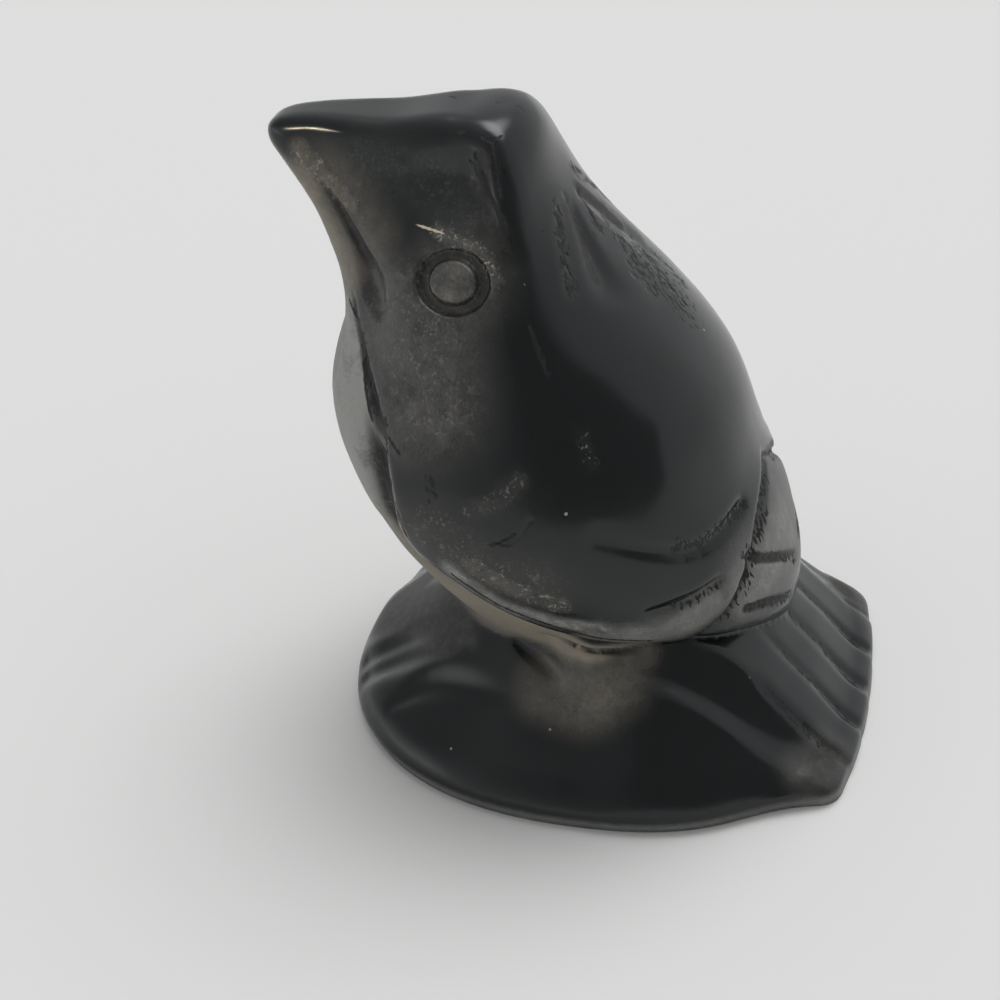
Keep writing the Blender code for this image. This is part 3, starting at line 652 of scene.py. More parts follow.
def bird(x, y, z):
    """The bird without its mound: body, raised wings, rump and head."""
    core = torso(x, y, z)
    inside = wing_inside(x, y, z)
    shoulder = ramp(*SHOULDER_RISE, z) * (1 - ramp(*SHOULDER_RUN, y))
    proud = WING_PROUD + (WING_PROUD_BEHIND - WING_PROUD) * ramp(*WING_TURN, y)
    wing = blend_max(core - proud * (1 - shoulder), -inside, WING_ROUND)
    skin = blend_min(core, wing, WING_BLEND)
    line = ramp(*RUMP_LINE_START, inside) * (1 - RUMP_LINE_FADE * ramp(*RUMP_LINE_END, z))
    skin = skin + RUMP_LINE_DEPTH * bell(rump_inside(x, y, z), RUMP_LINE_WIDTH) * line
    channel = bell(inside + CHANNEL_ASIDE, CHANNEL_WIDTH)
    channel = channel * ramp(*CHANNEL_FOOT, z) * (1 - ramp(*CHANNEL_HEAD, z))
    crevice = bell(inside + CREVICE_ASIDE, CREVICE_WIDTH) * (1 - ramp(*CREVICE_HEAD, z))
    skin = skin + CHANNEL_DEPTH * channel + CREVICE_DEPTH * crevice
    return blend_min(skin + scoop(x, y, z), head(x, y, z) + scoop(x, y, z), HEAD_BLEND)


def base_outline(x, y):
    """The foot's edge from above, and the mound's own measure: 0 at its middle, 1 at its rim."""
    along = y - MOUND_Y
    reach = np.where(along < 0, MOUND_FRONT, MOUND_BACK)
    p = np.where(along < 0, *MOUND_SQUARENESS)
    rho = ((x / MOUND_HALF) ** p + (np.abs(along) / reach) ** p) ** (1 / p)
    end = np.hypot(x, y - TAIL_END + TAIL_ARC) - TAIL_ARC
    fan = blend_max(x - TAIL_FOOT_HALF, end, TAIL_CORNER)
    fan = blend_max(fan, TAIL_START[0] - y, TAIL_START[1])
    return blend_min((rho - 1.0) * MOUND_HALF * OUTLINE_GAIN, fan, TAIL_BLEND), rho


def foot(x, y, z):
    """The mound and the tail, as a height above the flat underside."""
    outline, rho = base_outline(x, y)
    rise = np.clip((1.0 - rho) / MOUND_NARROWING, 0.0, 1.0)
    mound = RIM_HEIGHT + MOUND_HIGH * rise ** MOUND_FLARE - SINK_DEPTH * ramp(*SINK_RUN, y)
    fall = TAIL_TOP[1] - (y - TAIL_TOP[0]) * TAIL_FALL
    step = TAIL_STEP[2] * ramp(TAIL_STEP[0], TAIL_STEP[1], x)
    border = TAIL_BORDER[0] * bell(x - TAIL_BORDER[1], TAIL_BORDER[2])
    shift = FEATHER_FAN[0] * (y - FEATHER_FAN[1])
    lines = sum(bell(x - line - shift, FEATHER_WIDTH) for line in FEATHER_LINES)
    top = fall - step + border - FEATHER_DEPTH * lines * ramp(*FEATHER_START, y)
    flank = TAIL_FLANK * blend_max(x - TAIL_HALF, 0.0, TAIL_FLANK_ROUND)
    bow = TAIL_BOW[2] * blend_max(TAIL_BOW[0] - y, 0.0, TAIL_BOW[1])
    tail = blend_min(top, TAIL_TOP[1], TAIL_TOP_ROUND) - flank - bow
    skin = (z - blend_max(mound, tail, TAIL_SEAT)) * MOUND_GAIN
    outline = outline + RIM_UNDERCUT * (1 - ramp(0.0, RIM_UNDERCUT_HEIGHT, z))
    return blend_max(blend_max(skin, outline, RIM_ROUND), ROOT_Z - z, ROOT_ROUND)


def smooth_form(x, y, z):
    """Bird, mound and tail before the fine lines are cut, reaching down past the underside."""
    x = np.abs(x)
    stand = blend_min(foot(x, y, z), finger(x, y, z, LEG_TOP, LEG_FOOT, LEG_RADII), LEG_BLEND)
    return blend_min(bird(x, y, z), stand, STAND_BLEND)


def slope(field, p, step=0.02):
    """The direction in which the field grows fastest, at each row of p."""
    sides = []
    for k in range(3):
        shift = np.zeros(3)
        shift[k] = step
        sides.append((field(*(p + shift).T) - field(*(p - shift).T)) / (2 * step))
    return np.stack(sides, 1)


def drawn_to(field, p, rounds, stride=0.6):
    """Points moved along the slope until they lie on the surface."""
    p = np.array(p, float)
    for _ in range(rounds):
        g = slope(field, p)
        move = (field(*p.T) / np.maximum((g * g).sum(1), FLATTEST))[:, None] * g
        length = np.maximum(np.linalg.norm(move, axis=1), TINY)[:, None]
        p -= move * np.minimum(1.0, stride / length)
    return p


def cut_line(start, middle, end):
    """An arc through three points, laid on the smooth form."""
    s = np.linspace(0.0, 1.0, CUT_POINTS)
    points = [curve(s, ((0.0, a), (0.5, b), (1.0, c))) for a, b, c in zip(start, middle, end)]
    return drawn_to(smooth_form, np.stack(points, 1), CUT_ROUNDS)


def beside(p, line):
    """Where along a line each row of p lies, from 0 to 1, and how far from it."""
    away = np.full(len(p), FAR)
    place = np.zeros(len(p))
    for i, (a, b) in enumerate(zip(line[:-1], line[1:])):
        t = np.clip((p - a) @ (b - a) / ((b - a) @ (b - a)), 0.0, 1.0)
        here = np.linalg.norm(p - a - t[:, None] * (b - a), axis=1)
        place = np.where(here < away, (i + t) / (len(line) - 1), place)
        away = np.minimum(here, away)
    return place, away


def around(p, line, reach):
    """Whether each row of p lies in the box around a line, widened by the reach."""
    return np.all((p > line.min(0) - reach) & (p < line.max(0) + reach), axis=1)


def cut_depth(p, line, widths, depths):
    """How deep one tapered line is cut at each row of p."""
    near = around(p, line, CUT_REACH * max(widths))
    depth = np.zeros(len(p))
    place, away = beside(p[near], line)
    stops = (0.0, 0.5, 1.0)
    width = curve(place, tuple(zip(stops, widths)))
    depth[near] = curve(place, tuple(zip(stops, depths))) * bell(away, width)
    return depth


def eye_seat():
    """The eye's middle on the smooth form, and the direction out of the skin there."""
    middle = drawn_to(smooth_form, [EYE], CUT_ROUNDS)
    outward = slope(smooth_form, middle)[0]
    return middle[0], outward / np.linalg.norm(outward)


def from_eye(p, centre, outward):
    """How far each place is from the eye along the skin, by the slightly wide ring, and how far out."""
    d = p - centre
    level = np.cross((0.0, 0.0, 1.0), outward)
    level /= np.linalg.norm(level)
    rise = np.cross(outward, level)
    radius = np.hypot(d @ level / EYE_STRETCH[0], d @ rise / EYE_STRETCH[1])
    return radius, d @ outward


def eye_depth(p, centre, outward):
    """A flat-bottomed ring around the eye."""
    radius, out = from_eye(p, centre, outward)
    walls = [EYE_RING_HALF * share for share in EYE_WALLS]
    ring = 1 - ramp(*walls, np.abs(radius - EYE_RING))
    return EYE_DEPTH * ring * bell(out, EYE_NEAR)


def cut_lines(rows):
    """Each row's line laid on the smooth form, with its widths and depths."""
    return [(cut_line(*row[:3]), *row[3:]) for row in rows]


def folded(x, y, z):
    """The places as rows, those of the far side moved to the near side, where the tables' marks are."""
    return np.stack((np.abs(x), y, z), 1)


def carved_form():
    """The finished form, with every line laid on the smooth form first."""
    lines = cut_lines(CUTS)
    eye = eye_seat()

    def form(x, y, z):
        p = folded(x, y, z)
        skin = smooth_form(x, y, z) + eye_depth(p, *eye)
        for line, widths, depths in lines:
            skin = skin + cut_depth(p, line, widths, depths)
        return skin

    return form


def with_modifier(mesh, kind, **settings):
    """The mesh as it is after one modifier."""
    holder = bpy.data.objects.new("holder", mesh)
    bpy.context.scene.collection.objects.link(holder)
    modifier = holder.modifiers.new(kind.title(), kind)
    for name, value in settings.items():
        setattr(modifier, name, value)
    seen = holder.evaluated_get(bpy.context.evaluated_depsgraph_get())
    result = bpy.data.meshes.new_from_object(seen)
    bpy.data.objects.remove(holder)
    return result


def places(mesh):
    """The mesh's vertices as rows."""
    flat = np.empty(len(mesh.vertices) * 3)
    mesh.vertices.foreach_get("co", flat)
    return flat.reshape(-1, 3)


def put_places(mesh, points):
    mesh.vertices.foreach_set("co", points.ravel())
    mesh.update()


def sawn_flat(mesh):
    """The mesh cut off at the underside and closed there."""
    stone = bmesh.new()
    stone.from_mesh(mesh)
    everything = stone.verts[:] + stone.edges[:] + stone.faces[:]
    cut = bmesh.ops.bisect_plane(stone, geom=everything, dist=0.0001, plane_co=(0, 0, 0),
                                 plane_no=(0, 0, -1), clear_outer=True)
    edges = [piece for piece in cut["geom_cut"] if isinstance(piece, bmesh.types.BMEdge)]
    bmesh.ops.contextual_create(stone, geom=edges)
    bmesh.ops.recalc_face_normals(stone, faces=stone.faces)
    stone.to_mesh(mesh)
    stone.free()


def grain(points, size, octaves):
    """Smooth random values, about -1 to 1, that change over the given size."""
    found = [noise.fractal(Vector(q), GRAIN_FALL, 2.0, octaves) for q in points / size]
    return np.clip(np.array(found) * GRAIN_GAIN, -1.0, 1.0)


def how_far(p, line, reach):
    """How far each place is from a row of places, or FAR where it is clearly out of reach."""
    line = np.array(line, float)
    away = np.full(len(p), FAR)
    near = around(p, line, reach)
    away[near] = beside(p[near], line)[1]
    return away


def within(p, line, radius, softness=0.7):
    """1 near a row of places, fading to 0 beyond the radius."""
    outer = radius * (1 + softness)
    return 1 - ramp(radius * (1 - softness), outer, how_far(p, line, outer))


def filled(line):
    """A row of places with more of them in between."""
    line = np.array(line, float)
    steps = np.linalg.norm(np.diff(line, axis=0), axis=1)
    along = np.concatenate(([0.0], np.cumsum(steps)))
    spots = np.linspace(0.0, along[-1], max(int(along[-1] / LAID_STEP), 1) + 1)
    return np.stack([np.interp(spots, along, part) for part in line.T], 1)


def laid(field, lines, rounds):
    """Rows of places, all laid on the surface at once."""
    ends = np.cumsum([len(line) for line in lines])[:-1]
    return np.split(drawn_to(field, np.concatenate(lines), rounds), ends)


def nicks(rng):
    """Short strokes left by the tool, each with its start, middle, end, width and depth."""
    rows = []
    for start, end, side, number, run, long in NICK_ROWS:
        for i in range(number):
            t = (i + rng.uniform(-NICK_SHIFT, NICK_SHIFT)) / max(number - 1, 1)
            middle = np.array(start) + (np.array(end) - np.array(start)) * t
            middle = middle + rng.normal(0.0, side, 3)
            along = np.array(run) + rng.normal(0.0, NICK_SWAY, 3)
            half = along / np.linalg.norm(along) * long * rng.uniform(*NICK_LENGTHS) / 2
            width = rng.uniform(*NICK_WIDTH)
            rows.append((middle - half, middle, middle + half, width, rng.uniform(*NICK_DEPTH)))
    return rows


class Carving:
    """The fine form: the carved form with the tool's small marks, and where its surface is worked how."""

    def __init__(self):
        self.form = carved_form()
        self.lines = cut_lines(CUTS + FINE_CUTS + TAIL_CUTS)
        self.fine = self.lines[len(CUTS):]
        self.dull = [self.lines[i] for i in DULL_CUTS] + self.fine[:len(FINE_CUTS)]
        self.eye = eye_seat()
        self.worn = self.laid_rows(PATCHES, True) + self.laid_rows(NEAR_PATCHES, False)
        self.scored = self.laid_rows(SCORED, False) + self.laid_rows(BOTH_SCORED, True)
        # Thin lines of painted shade along creases and edges, with small pits
        self.thin = self.laid_rows(CREASE_SHADE_LINES, True) + self.laid_rows(NEAR_LINES, False)
        self.darkened = self.laid_rows(DULL_PLACES, True)
        self.nicks = cut_lines(NEAR_CUTS)
        rows = nicks(np.random.default_rng(SEED))
        for line, row in zip(laid(smooth_form, [np.array(row[:3]) for row in rows], NICK_ROUNDS), rows):
            width, depth = row[3:]
            thin = NICK_END_WIDTH * width
            shallow = NICK_END_DEPTH * depth
            self.nicks.append((line, (thin, width, thin), (shallow, depth, shallow)))

    def laid_rows(self, rows, both):
        """A table's rows laid on the form, each with whether both sides have it and its numbers."""
        lines = laid(self.form, [filled(row[0]) for row in rows], CUT_ROUNDS)
        return [(line, both, *row[1:]) for line, row in zip(lines, rows)]

    def __call__(self, x, y, z):
        p = folded(x, y, z)
        q = np.stack((x, y, z), 1)
        skin = self.form(x, y, z)
        for line, widths, depths in self.fine:
            skin = skin + cut_depth(p, line, widths, depths)
        for line, widths, depths in self.nicks:
            skin = skin + cut_depth(q, line, widths, depths)
        return skin

    def cutting(self, points):
        """How deep the dull, unpolished lines are at each place, in millimetres."""
        p = folded(*points.T)
        depth = EYE_DULL * eye_depth(p, *self.eye)
        for line, widths, depths in self.dull:
            depth = np.maximum(depth, cut_depth(p, line, widths, depths))
        for line, widths, depths in self.nicks:
            depth = np.maximum(depth, cut_depth(points, line, widths, depths))
        return depth

    def detailed(self, points):
        """Whether a place is close enough to a fine line to need a finer skin."""
        p = folded(*points.T)
        near = np.linalg.norm(p - self.eye[0], axis=1) < EYE_RING + EYE_REACH
        for line, widths, _ in self.lines:
            if max(widths) < FINE_WIDTH:
                near |= how_far(p, line, FINE_REACH) < FINE_REACH
        for line, *_ in self.nicks:
            near |= how_far(points, line, FINE_REACH) < FINE_REACH * STROKE_REACH
        near |= how_far(points, GLINT_LINE, FINE_REACH) < FINE_REACH
        for line, both, _ in self.thin:
            near |= how_far(p if both else points, line, FINE_REACH) < FINE_REACH
        x, y, z = p.T
        edge = np.abs(wing_inside(x, y, z) + CREVICE_ASIDE) < FINE_REACH
        return near | (edge & (z > WING_FLOOR) & (y < WING_BACK))

    def nicked(self, points):
        """Whether a place is close enough to a short stroke to need the finest skin."""
        near = np.zeros(len(points), bool)
        for line, *_ in self.nicks:
            near |= how_far(points, line, NICK_NEAR) < NICK_NEAR
        return near


def worn(carving, points, p, below):
    """How matte, brown and pitted the surface is at each place."""
    x, y, z = p.T
    plain = np.where(points[:, 0] < 0, FAR_SIDE, 1.0)
    aside = CHEST_MIDDLE + (1 - CHEST_MIDDLE) * ramp(*CHEST_SIDE, x)
    chest = below * ramp(*CHEST_FOOT, z) * (1 - ramp(*CHEST_HEAD, z)) * (1 - ramp(*CHEST_BACK, y))
    belly = below * (1 - ramp(*BELLY_HEAD, z)) * (1 - ramp(*BELLY_BACK, y))
    matte = np.maximum(aside * chest * plain, BELLY_MATTE * aside * belly)
    brown = np.maximum(aside * belly, CHEST_BROWN * chest * (1 - ramp(*CHEST_BROWN_HEAD, z)))
    pitted = CHEST_PITTED * chest
    for line, both, radius, frosted, stained, rough in carving.worn:
        here = within(p if both else points, line, radius)
        matte = np.maximum(matte, frosted * here * plain)
        brown = np.maximum(brown, stained * here)
        pitted = np.maximum(pitted, rough * here * plain)

    from_middle = from_eye(p, *carving.eye)[0]
    by_eye = np.linalg.norm(p - carving.eye[0], axis=1) < EYE_RING * 2
    disc = 1 - ramp(*[EYE_RING - edge for edge in DISC_EDGE], np.where(by_eye, from_middle, FAR))
    matte = np.maximum(matte * (1 - disc), DISC_MATTE * disc)
    return np.maximum(matte, RIM_MATTE * (1 - ramp(*RIM_WORN, z))), brown, pitted


def strokes_at(carving, points, p):
    """How thickly the surface is scored at each place, and how near a thin line is: painted shade along a
    crease or edge, and small pits.
    """
    scored = np.zeros(len(p))
    for line, both, radius, share in carving.scored:
        scored = np.maximum(scored, share * within(p if both else points, line, radius, SCORED_SOFTNESS))
    away = np.full(len(p), THIN_FADE)
    for line, both, half in carving.thin:
        here = how_far(p if both else points, line, THIN_FADE + half)
        away = np.minimum(away, np.maximum(here - half, 0.0))
    return scored, 1 - away / THIN_FADE


def finish_of(carving, points):
    """How the surface is finished at each place, with the thin lines of painted shade and the painted
    glint, by the names that the stone's material reads.
    """
    p = folded(*points.T)
    x, y, z = p.T
    inside = wing_inside(x, y, z)
    on_bird = ramp(-ON_BIRD, ON_BIRD, foot(x, y, z) - bird(x, y, z))
    matte, brown, pitted = worn(carving, points, p, ramp(*BELOW_WING, -inside) * on_bird)
    channel = bell(inside + CHANNEL_ASIDE, CHANNEL_WIDTH) * ramp(*CHANNEL_FOOT, z)
    channel = channel * (1 - ramp(*CHANNEL_WORN_HEAD, z)) * on_bird
    pitted = np.maximum(pitted, CHANNEL_PITTED * channel)

    cut = np.clip(carving.cutting(points) / CUT_FULL, 0.0, 1.0)
    crevice = bell(inside + CREVICE_ASIDE, CREVICE_WIDTH) * on_bird * (1 - ramp(*CREVICE_WORN_HEAD, z))
    vee = bell(rump_inside(x, y, z), RUMP_LINE_WIDTH * RUMP_WORN) * ramp(*RUMP_LINE_START, inside)
    cut = np.maximum(cut, EDGE_DULL * np.maximum(crevice, vee))
    cut = np.maximum(cut, CHANNEL_DULL * channel)
    for line, _, radius, share in carving.darkened:
        cut = np.maximum(cut, share * within(p, line, radius, DULL_SOFTNESS))
    # A pale warm painted glint along the scratch above the eye
    painted_glint = within(points, GLINT_LINE, GLINT_HALF, GLINT_SOFTNESS)
    # How thickly scored, and how near the thin lines of painted shade and the pits
    scored, thin = strokes_at(carving, points, p)
    return {"matte": matte, "brown": brown, "cut": cut, "pitted": pitted, "painted_glint": painted_glint,
            "scored": scored, "thin": thin}


def made_finer(mesh, near):
    """The mesh with the edges of its chosen places split in two."""
    stone = bmesh.new()
    stone.from_mesh(mesh)
    stone.verts.ensure_lookup_table()
    chosen = {edge for face in stone.faces if all(near[v.index] for v in face.verts) for edge in face.edges}
    chosen = sorted(chosen, key=lambda edge: edge.index)
    bmesh.ops.subdivide_edges(stone, edges=chosen, cuts=1, use_grid_fill=True)
    stone.to_mesh(mesh)
    stone.free()


def fine_mesh():
    """The solid's mesh made into a fine even skin and drawn on to the fine form."""
    carving = Carving()
    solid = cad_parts["bird_carving"]
    mesh = solid.data.copy()
    mesh.transform(solid.matrix_world)
    mesh.transform(Matrix.Scale(1 / MM, 4))
    points = places(mesh)
    points[points[:, 2] < UNDERSIDE, 2] = ROOT_Z
    put_places(mesh, points)
    mesh = with_modifier(mesh, "REMESH", mode="VOXEL", voxel_size=CELL)
    put_places(mesh, drawn_to(carving.form, places(mesh), rounds=3))
    for _ in range(EVENINGS):
        mesh = with_modifier(mesh, "SMOOTH", factor=EVENING, iterations=2)
        put_places(mesh, drawn_to(carving.form, places(mesh), rounds=2))

    made_finer(mesh, carving.detailed(places(mesh)))
    put_places(mesh, drawn_to(carving.form, places(mesh), rounds=1))
    made_finer(mesh, carving.nicked(places(mesh)))
    put_places(mesh, drawn_to(carving, places(mesh), rounds=3))

    points = places(mesh)
    finish = finish_of(carving, points)
    outward = slope(carving, points)
    outward /= np.linalg.norm(outward, axis=1)[:, None]
    clear = ramp(*WAVE_FOOT, points[:, 2])
    dents = ROUGH_DEPTH * finish["pitted"] * grain(points, ROUGH_SIZE, octaves=3)
    waves = WAVE_DEPTH * grain(points, WAVE_SIZE, octaves=1)
    put_places(mesh, points + outward * ((dents + waves) * clear)[:, None])
    sawn_flat(mesh)

    finish = finish_of(carving, places(mesh))
    for name, values in finish.items():
        layer = mesh.attributes.new(name, "FLOAT", "POINT")
        layer.data.foreach_set("value", values.astype(np.float32))
    mesh.transform(Matrix.Scale(MM, 4))
    mesh.shade_smooth()
    return mesh


class Value:
    """A node's output, and what other nodes make of it."""

    def __init__(self, tree, socket):
        self.tree = tree
        self.socket = socket

    def math(self, operation, other=0.0):
        return self.tree.add("ShaderNodeMath", 0, {"operation": operation}, i0=self, i1=other)

    def __add__(self, other):
        return self.math("ADD", other)

    def __sub__(self, other):
        return self.math("SUBTRACT", other)

    def __mul__(self, other):
        return self.math("MULTIPLY", other)

    def most(self, other):
        return self.math("MAXIMUM", other)

    def along(self, direction):
        settings = {"operation": "DOT_PRODUCT"}
        return self.tree.add("ShaderNodeVectorMath", "Value", settings, i0=self, i1=direction)

    def step(self, low, high, to_low=0.0, to_high=1.0):
        """A smooth change from to_low to to_high while this value goes from low to high."""
        settings = {"interpolation_type": "SMOOTHSTEP"}
        return self.tree.add("ShaderNodeMapRange", "Result", settings, Value=self, From_Min=low,
                             From_Max=high, To_Min=to_low, To_Max=to_high)


class Tree:
    """The nodes of a material or of the surroundings."""

    def __init__(self, owner):
        owner.use_nodes = True
        self.nodes = owner.node_tree.nodes
        self.links = owner.node_tree.links

    def add(self, kind, output=0, settings=(), **inputs):
        """A new node's output. An input is named by its words or, as in i0, by its place."""
        made = self.nodes.new(kind)
        for name, value in dict(settings).items():
            setattr(made, name, value)
        for name, value in inputs.items():
            self.feed(made, int(name[1:]) if name[1:].isdigit() else name.replace("_", " "), value)
        return Value(self, made.outputs[output])

    def feed(self, node, name, value):
        """Gives an input of a node a number, a colour or another node's output."""
        if isinstance(value, Value):
            self.links.new(value.socket, node.inputs[name])
        else:
            node.inputs[name].default_value = value

    def mark(self, name):
        """A named value of the mesh."""
        return self.add("ShaderNodeAttribute", "Fac", {"attribute_name": name})

    def noise(self, place, per_metre, detail, roughness):
        return self.add("ShaderNodeTexNoise", "Fac", (), Vector=place, Scale=per_metre, Detail=detail,
                        Roughness=roughness)

    def mix(self, share, a, b):
        return self.add("ShaderNodeMix", 2, {"data_type": "RGBA"}, i0=share, i6=a, i7=b)


def strokes_and_crease_shade(tree, place, fine):
    """Short strokes where the stone is scored, all running one way, and the thin lines: painted shade along
    creases and edges, and small pits.
    """
    run = Vector(SCORED_RUN).normalized()
    shift = tree.add("ShaderNodeVectorMath", 0, {"operation": "SCALE"}, i0=run,
                     Scale=place.along(run) * SCORED_STRETCH)
    drawn_out = tree.add("ShaderNodeVectorMath", 0, {"operation": "SUBTRACT"}, i0=place, i1=shift)
    scored = tree.mark("scored")
    stroke = tree.noise(drawn_out, *STROKES) + scored * SCORED_GAIN
    stroke = stroke.step(*STROKE_EDGE) * scored.step(*SCORED_EDGE)
    # The thin lines' painted shade, with a little sway
    thin = tree.mark("thin") + fine.step(*THIN_SWAY)
    dark, gone = [1 - half / THIN_FADE for half in THIN_HALF]
    return stroke.most(thin.step(gone, dark))


def dust_specks(tree, place, fine):
    """Small specks of uneven size in a share of the cells of a coarse pattern."""
    away = tree.add("ShaderNodeTexVoronoi", "Distance", (), Vector=place, Scale=DUST_PER_METRE)
    cell = Value(tree, away.socket.node.outputs["Color"])
    chance = tree.add("ShaderNodeSeparateColor", 0, (), Color=cell)
    return away.math("LESS_THAN", fine * DUST_SIZE) * chance.math("GREATER_THAN", 1 - DUST_SHARE)


def obsidian():
    """Polished black glass with worn brown places, matte unpolished places, dirty cuts and dust, with
    painted shade along creases and edges and one painted glint.
    """
    material = bpy.data.materials.new("obsidian")
    tree = Tree(material)
    place = tree.add("ShaderNodeTexCoord", "Object")
    cloud = tree.noise(place, *CLOUD)
    mottle = tree.noise(place, *MOTTLE)
    fine = tree.noise(place, *FINE)
    pitted = tree.mark("pitted")
    # The scored strokes together with the thin lines of painted shade and the pits
    stroke = strokes_and_crease_shade(tree, place, fine)
    dust = dust_specks(tree, place, fine)

    shade = cloud.step(*CLOUD_SHADE) * mottle.step(*MOTTLE_SHADE) * fine.step(*FINE_SHADE)
    shade = (shade - 1.0) * pitted.step(*PITTED_SHADE) + 1.0
    matte = tree.mark("matte") * shade
    brown = tree.mark("brown") * shade
    cut = tree.mark("cut").step(*CUT_EDGE)
    chip = tree.noise(place, *CHIPS) + mottle.step(*CHIP_SWAY)
    chip = chip.step(*CHIP_EDGE) * pitted.step(*CHIP_PITTED)
    rust = tree.noise(place, *RUST).step(*RUST_EDGE) * RUST_GAIN
    dirt = mottle.step(*DIRT_MOTTLE) * fine.step(*DIRT_FINE)

    colour = tree.mix(matte * (matte + MATTE_LEAST), BLACK, MATTE_COLOUR)
    colour = tree.mix(brown.math("MINIMUM", 1.0), colour, BROWN_COLOUR)
    colour = tree.mix(cut, colour, tree.mix(dirt, CUT_COLOUR, DIRT_COLOUR))
    colour = tree.mix(chip, colour, tree.mix(rust, FLECK_COLOUR, RUST_COLOUR))
    # Dark colour of the scored strokes and of the thin lines of painted shade
    colour = tree.mix(stroke, colour, CUT_COLOUR)
    # Painted glint: the pale warm line along the scratch above the eye
    colour = tree.mix(tree.mark("painted_glint").step(*GLINT_EDGE), colour, GLINT_COLOUR)

    rough = cloud.step(*POLISH) + matte * MATTE_ROUGH + brown * BROWN_ROUGH
    rough = rough.most(cut * CUT_ROUGH).most(dust * DUST_ROUGH).most(stroke * STROKE_ROUGH)
    worked = matte.most(cut * CUT_WORKED).most(pitted)
    height = fine * worked + mottle * (worked * MOTTLE_HIGH + MOTTLE_LEAST)
    height = height + chip * CHIP_HIGH - stroke * STROKE_DEEP

    shader = tree.nodes["Principled BSDF"]
    tree.feed(shader, "Base Color", tree.mix(dust, colour, DUST_COLOUR))
    tree.feed(shader, "Roughness", rough)
    tree.feed(shader, "IOR", STONE_IOR)
    bump = tree.add("ShaderNodeBump", "Normal", (), Strength=1.0, Distance=BUMP_DEPTH, Height=height)
    tree.feed(shader, "Normal", bump)
    return material


def carved_bird():
    """The one visible piece, in the place of the solid."""
    mesh = fine_mesh()
    mesh.name = "carved_bird"
    mesh.materials.clear()
    mesh.materials.append(obsidian())
    piece = bpy.data.objects.new("carved_bird", mesh)
    bpy.context.scene.collection.objects.link(piece)
    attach(piece, "root")
    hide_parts("bird_carving")


def plain_sheet(name, half_wide, half_high, colour, edge=0.0):
    """A flat staged sheet with one soft matte colour. Its edges can fade away over a share of its size."""
    mesh = bpy.data.meshes.new(name)
    corners = [(-1, -1), (1, -1), (1, 1), (-1, 1)]
    mesh.from_pydata([(a * half_wide, b * half_high, 0.0) for a, b in corners], [], [(0, 1, 2, 3)])
    material = bpy.data.materials.new(name)
    tree = Tree(material)
    shader = tree.nodes["Principled BSDF"]
    tree.feed(shader, "Base Color", colour)
    tree.feed(shader, "Roughness", SHEET_ROUGHNESS)
    tree.feed(shader, "Specular IOR Level", SHEET_SHINE)
    if edge:
        place = tree.add("ShaderNodeTexCoord", "Generated")
        parts = [tree.add("ShaderNodeSeparateXYZ", axis, (), i0=place) for axis in "XY"]
        across, up = [(part - 0.5).math("ABSOLUTE").step(0.5, 0.5 - edge / 2) for part in parts]
        tree.feed(shader, "Alpha", across * up)
    mesh.materials.append(material)
    made = bpy.data.objects.new(name, mesh)
    bpy.context.scene.collection.objects.link(made)
    return made


def toward(azimuth, elevation):
    """The direction from the object to a place on the sky: azimuth 0 is -Y, 90 is +X."""
    a = math.radians(azimuth)
    e = math.radians(elevation)
    return Vector((math.cos(e) * math.sin(a), -math.cos(e) * math.cos(a), math.sin(e)))


def facing(back, roll=0.0):
    """Right, up and back axes of something that looks along -back."""
    level = Vector((0, 0, 1)).cross(back).normalized()
    upright = back.cross(level)
    right = level * math.cos(roll) + upright * math.sin(roll)
    up = upright * math.cos(roll) - level * math.sin(roll)
    return Matrix((right, up, back)).transposed().to_4x4()


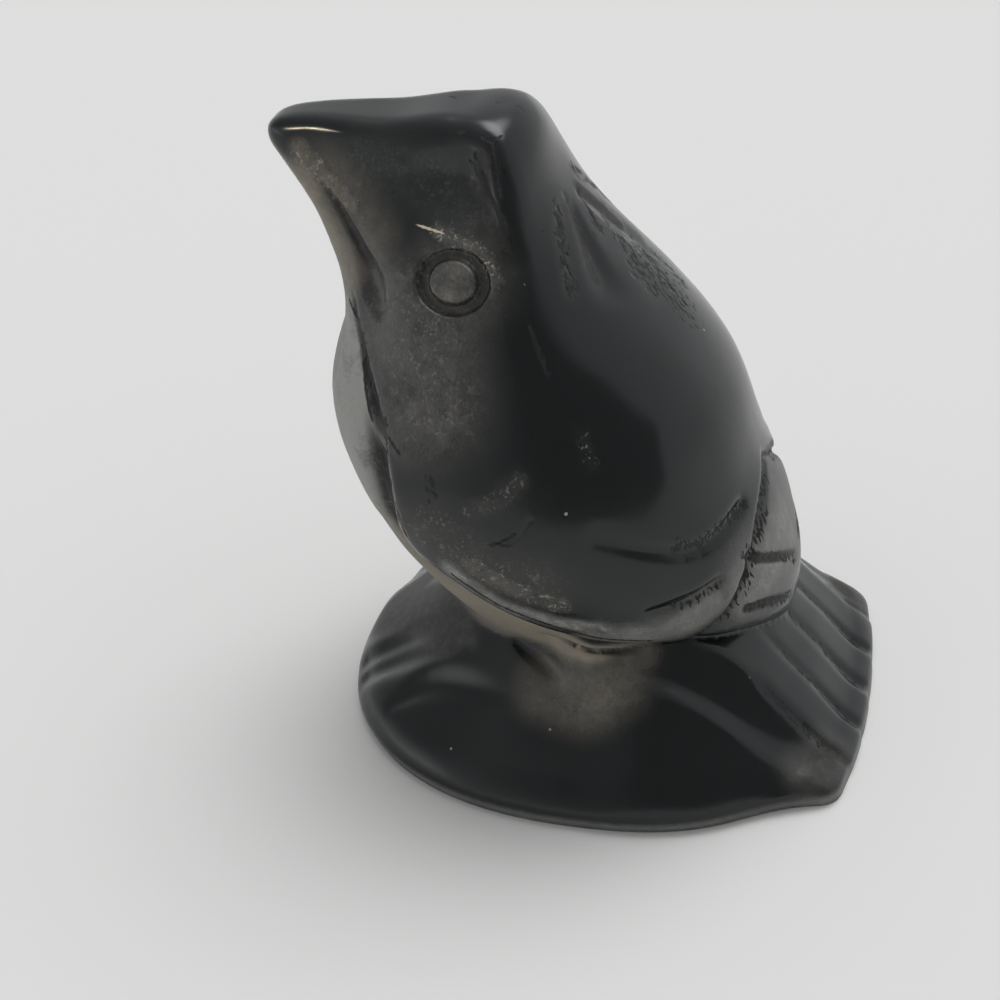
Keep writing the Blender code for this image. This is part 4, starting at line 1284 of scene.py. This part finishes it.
def flag():
    """A dark card beside the lens, out of the camera's sight, that the polished stone reflects."""
    card = plain_sheet("flag", FLAG_HALF[0] * MM, FLAG_HALF[1] * MM, FLAG_COLOUR, FLAG_EDGE)
    back = toward(VIEW_AZIMUTH, VIEW_ELEVATION)
    turned = facing(back, math.radians(FLAG_ROLL))
    centre = Vector(VIEW_TARGET) + back * FLAG_DISTANCE
    centre += turned.col[0].xyz * FLAG_ASIDE[0] + turned.col[1].xyz * FLAG_ASIDE[1]
    card.matrix_world = Matrix.Translation(centre * MM) @ turned
    card.visible_camera = False
    card.visible_diffuse = False
    card.visible_shadow = False


def sky():
    """Soft pale surroundings, with softly bounded parts that are brighter or darker."""
    world = bpy.data.worlds.new("surroundings")
    bpy.context.scene.world = world
    tree = Tree(world)
    place = tree.add("ShaderNodeTexCoord", "Generated")
    strength = 1.0
    for azimuth, elevation, spread, gain in LOBES:
        nearness = place.along(toward(azimuth, elevation))
        strength = nearness.step(math.cos(math.radians(spread)), 1.0, 1.0, gain) * strength
    background = tree.nodes["Background"]
    tree.feed(background, "Color", SKY_COLOUR)
    tree.feed(background, "Strength", strength)


def lamp():
    """A small warm spot light that glints on the beak's ridge."""
    data = bpy.data.lights.new("lamp", "SPOT")
    data.shadow_soft_size = LAMP_SIZE / 2 * MM
    data.energy = LAMP_POWER
    data.color = LAMP_COLOUR
    data.spot_size = math.radians(LAMP_CONE)
    data.spot_blend = LAMP_SOFTNESS
    made = bpy.data.objects.new("lamp", data)
    bpy.context.scene.collection.objects.link(made)
    back = toward(*LAMP_PLACE)
    made.matrix_world = Matrix.Translation((Vector(LAMP_AIM) + back * LAMP_DISTANCE) * MM) @ facing(back)


def camera():
    """The camera at the photograph's viewing angle, in focus everywhere."""
    data = bpy.data.cameras.new("camera")
    data.lens = LENS
    data.sensor_width = SENSOR
    data.clip_start = NEAREST_SEEN
    eye = bpy.data.objects.new("camera", data)
    bpy.context.scene.collection.objects.link(eye)
    back = toward(VIEW_AZIMUTH, VIEW_ELEVATION)
    place = Matrix.Translation((Vector(VIEW_TARGET) + back * VIEW_DISTANCE) * MM)
    eye.matrix_world = place @ facing(back, math.radians(VIEW_ROLL))
    bpy.context.scene.camera = eye


bpy.context.scene.view_settings.view_transform = "Standard"
carved_bird()
plain_sheet("floor", FLOOR_HALF, FLOOR_HALF, FLOOR_COLOUR)
flag()
sky()
lamp()
camera()
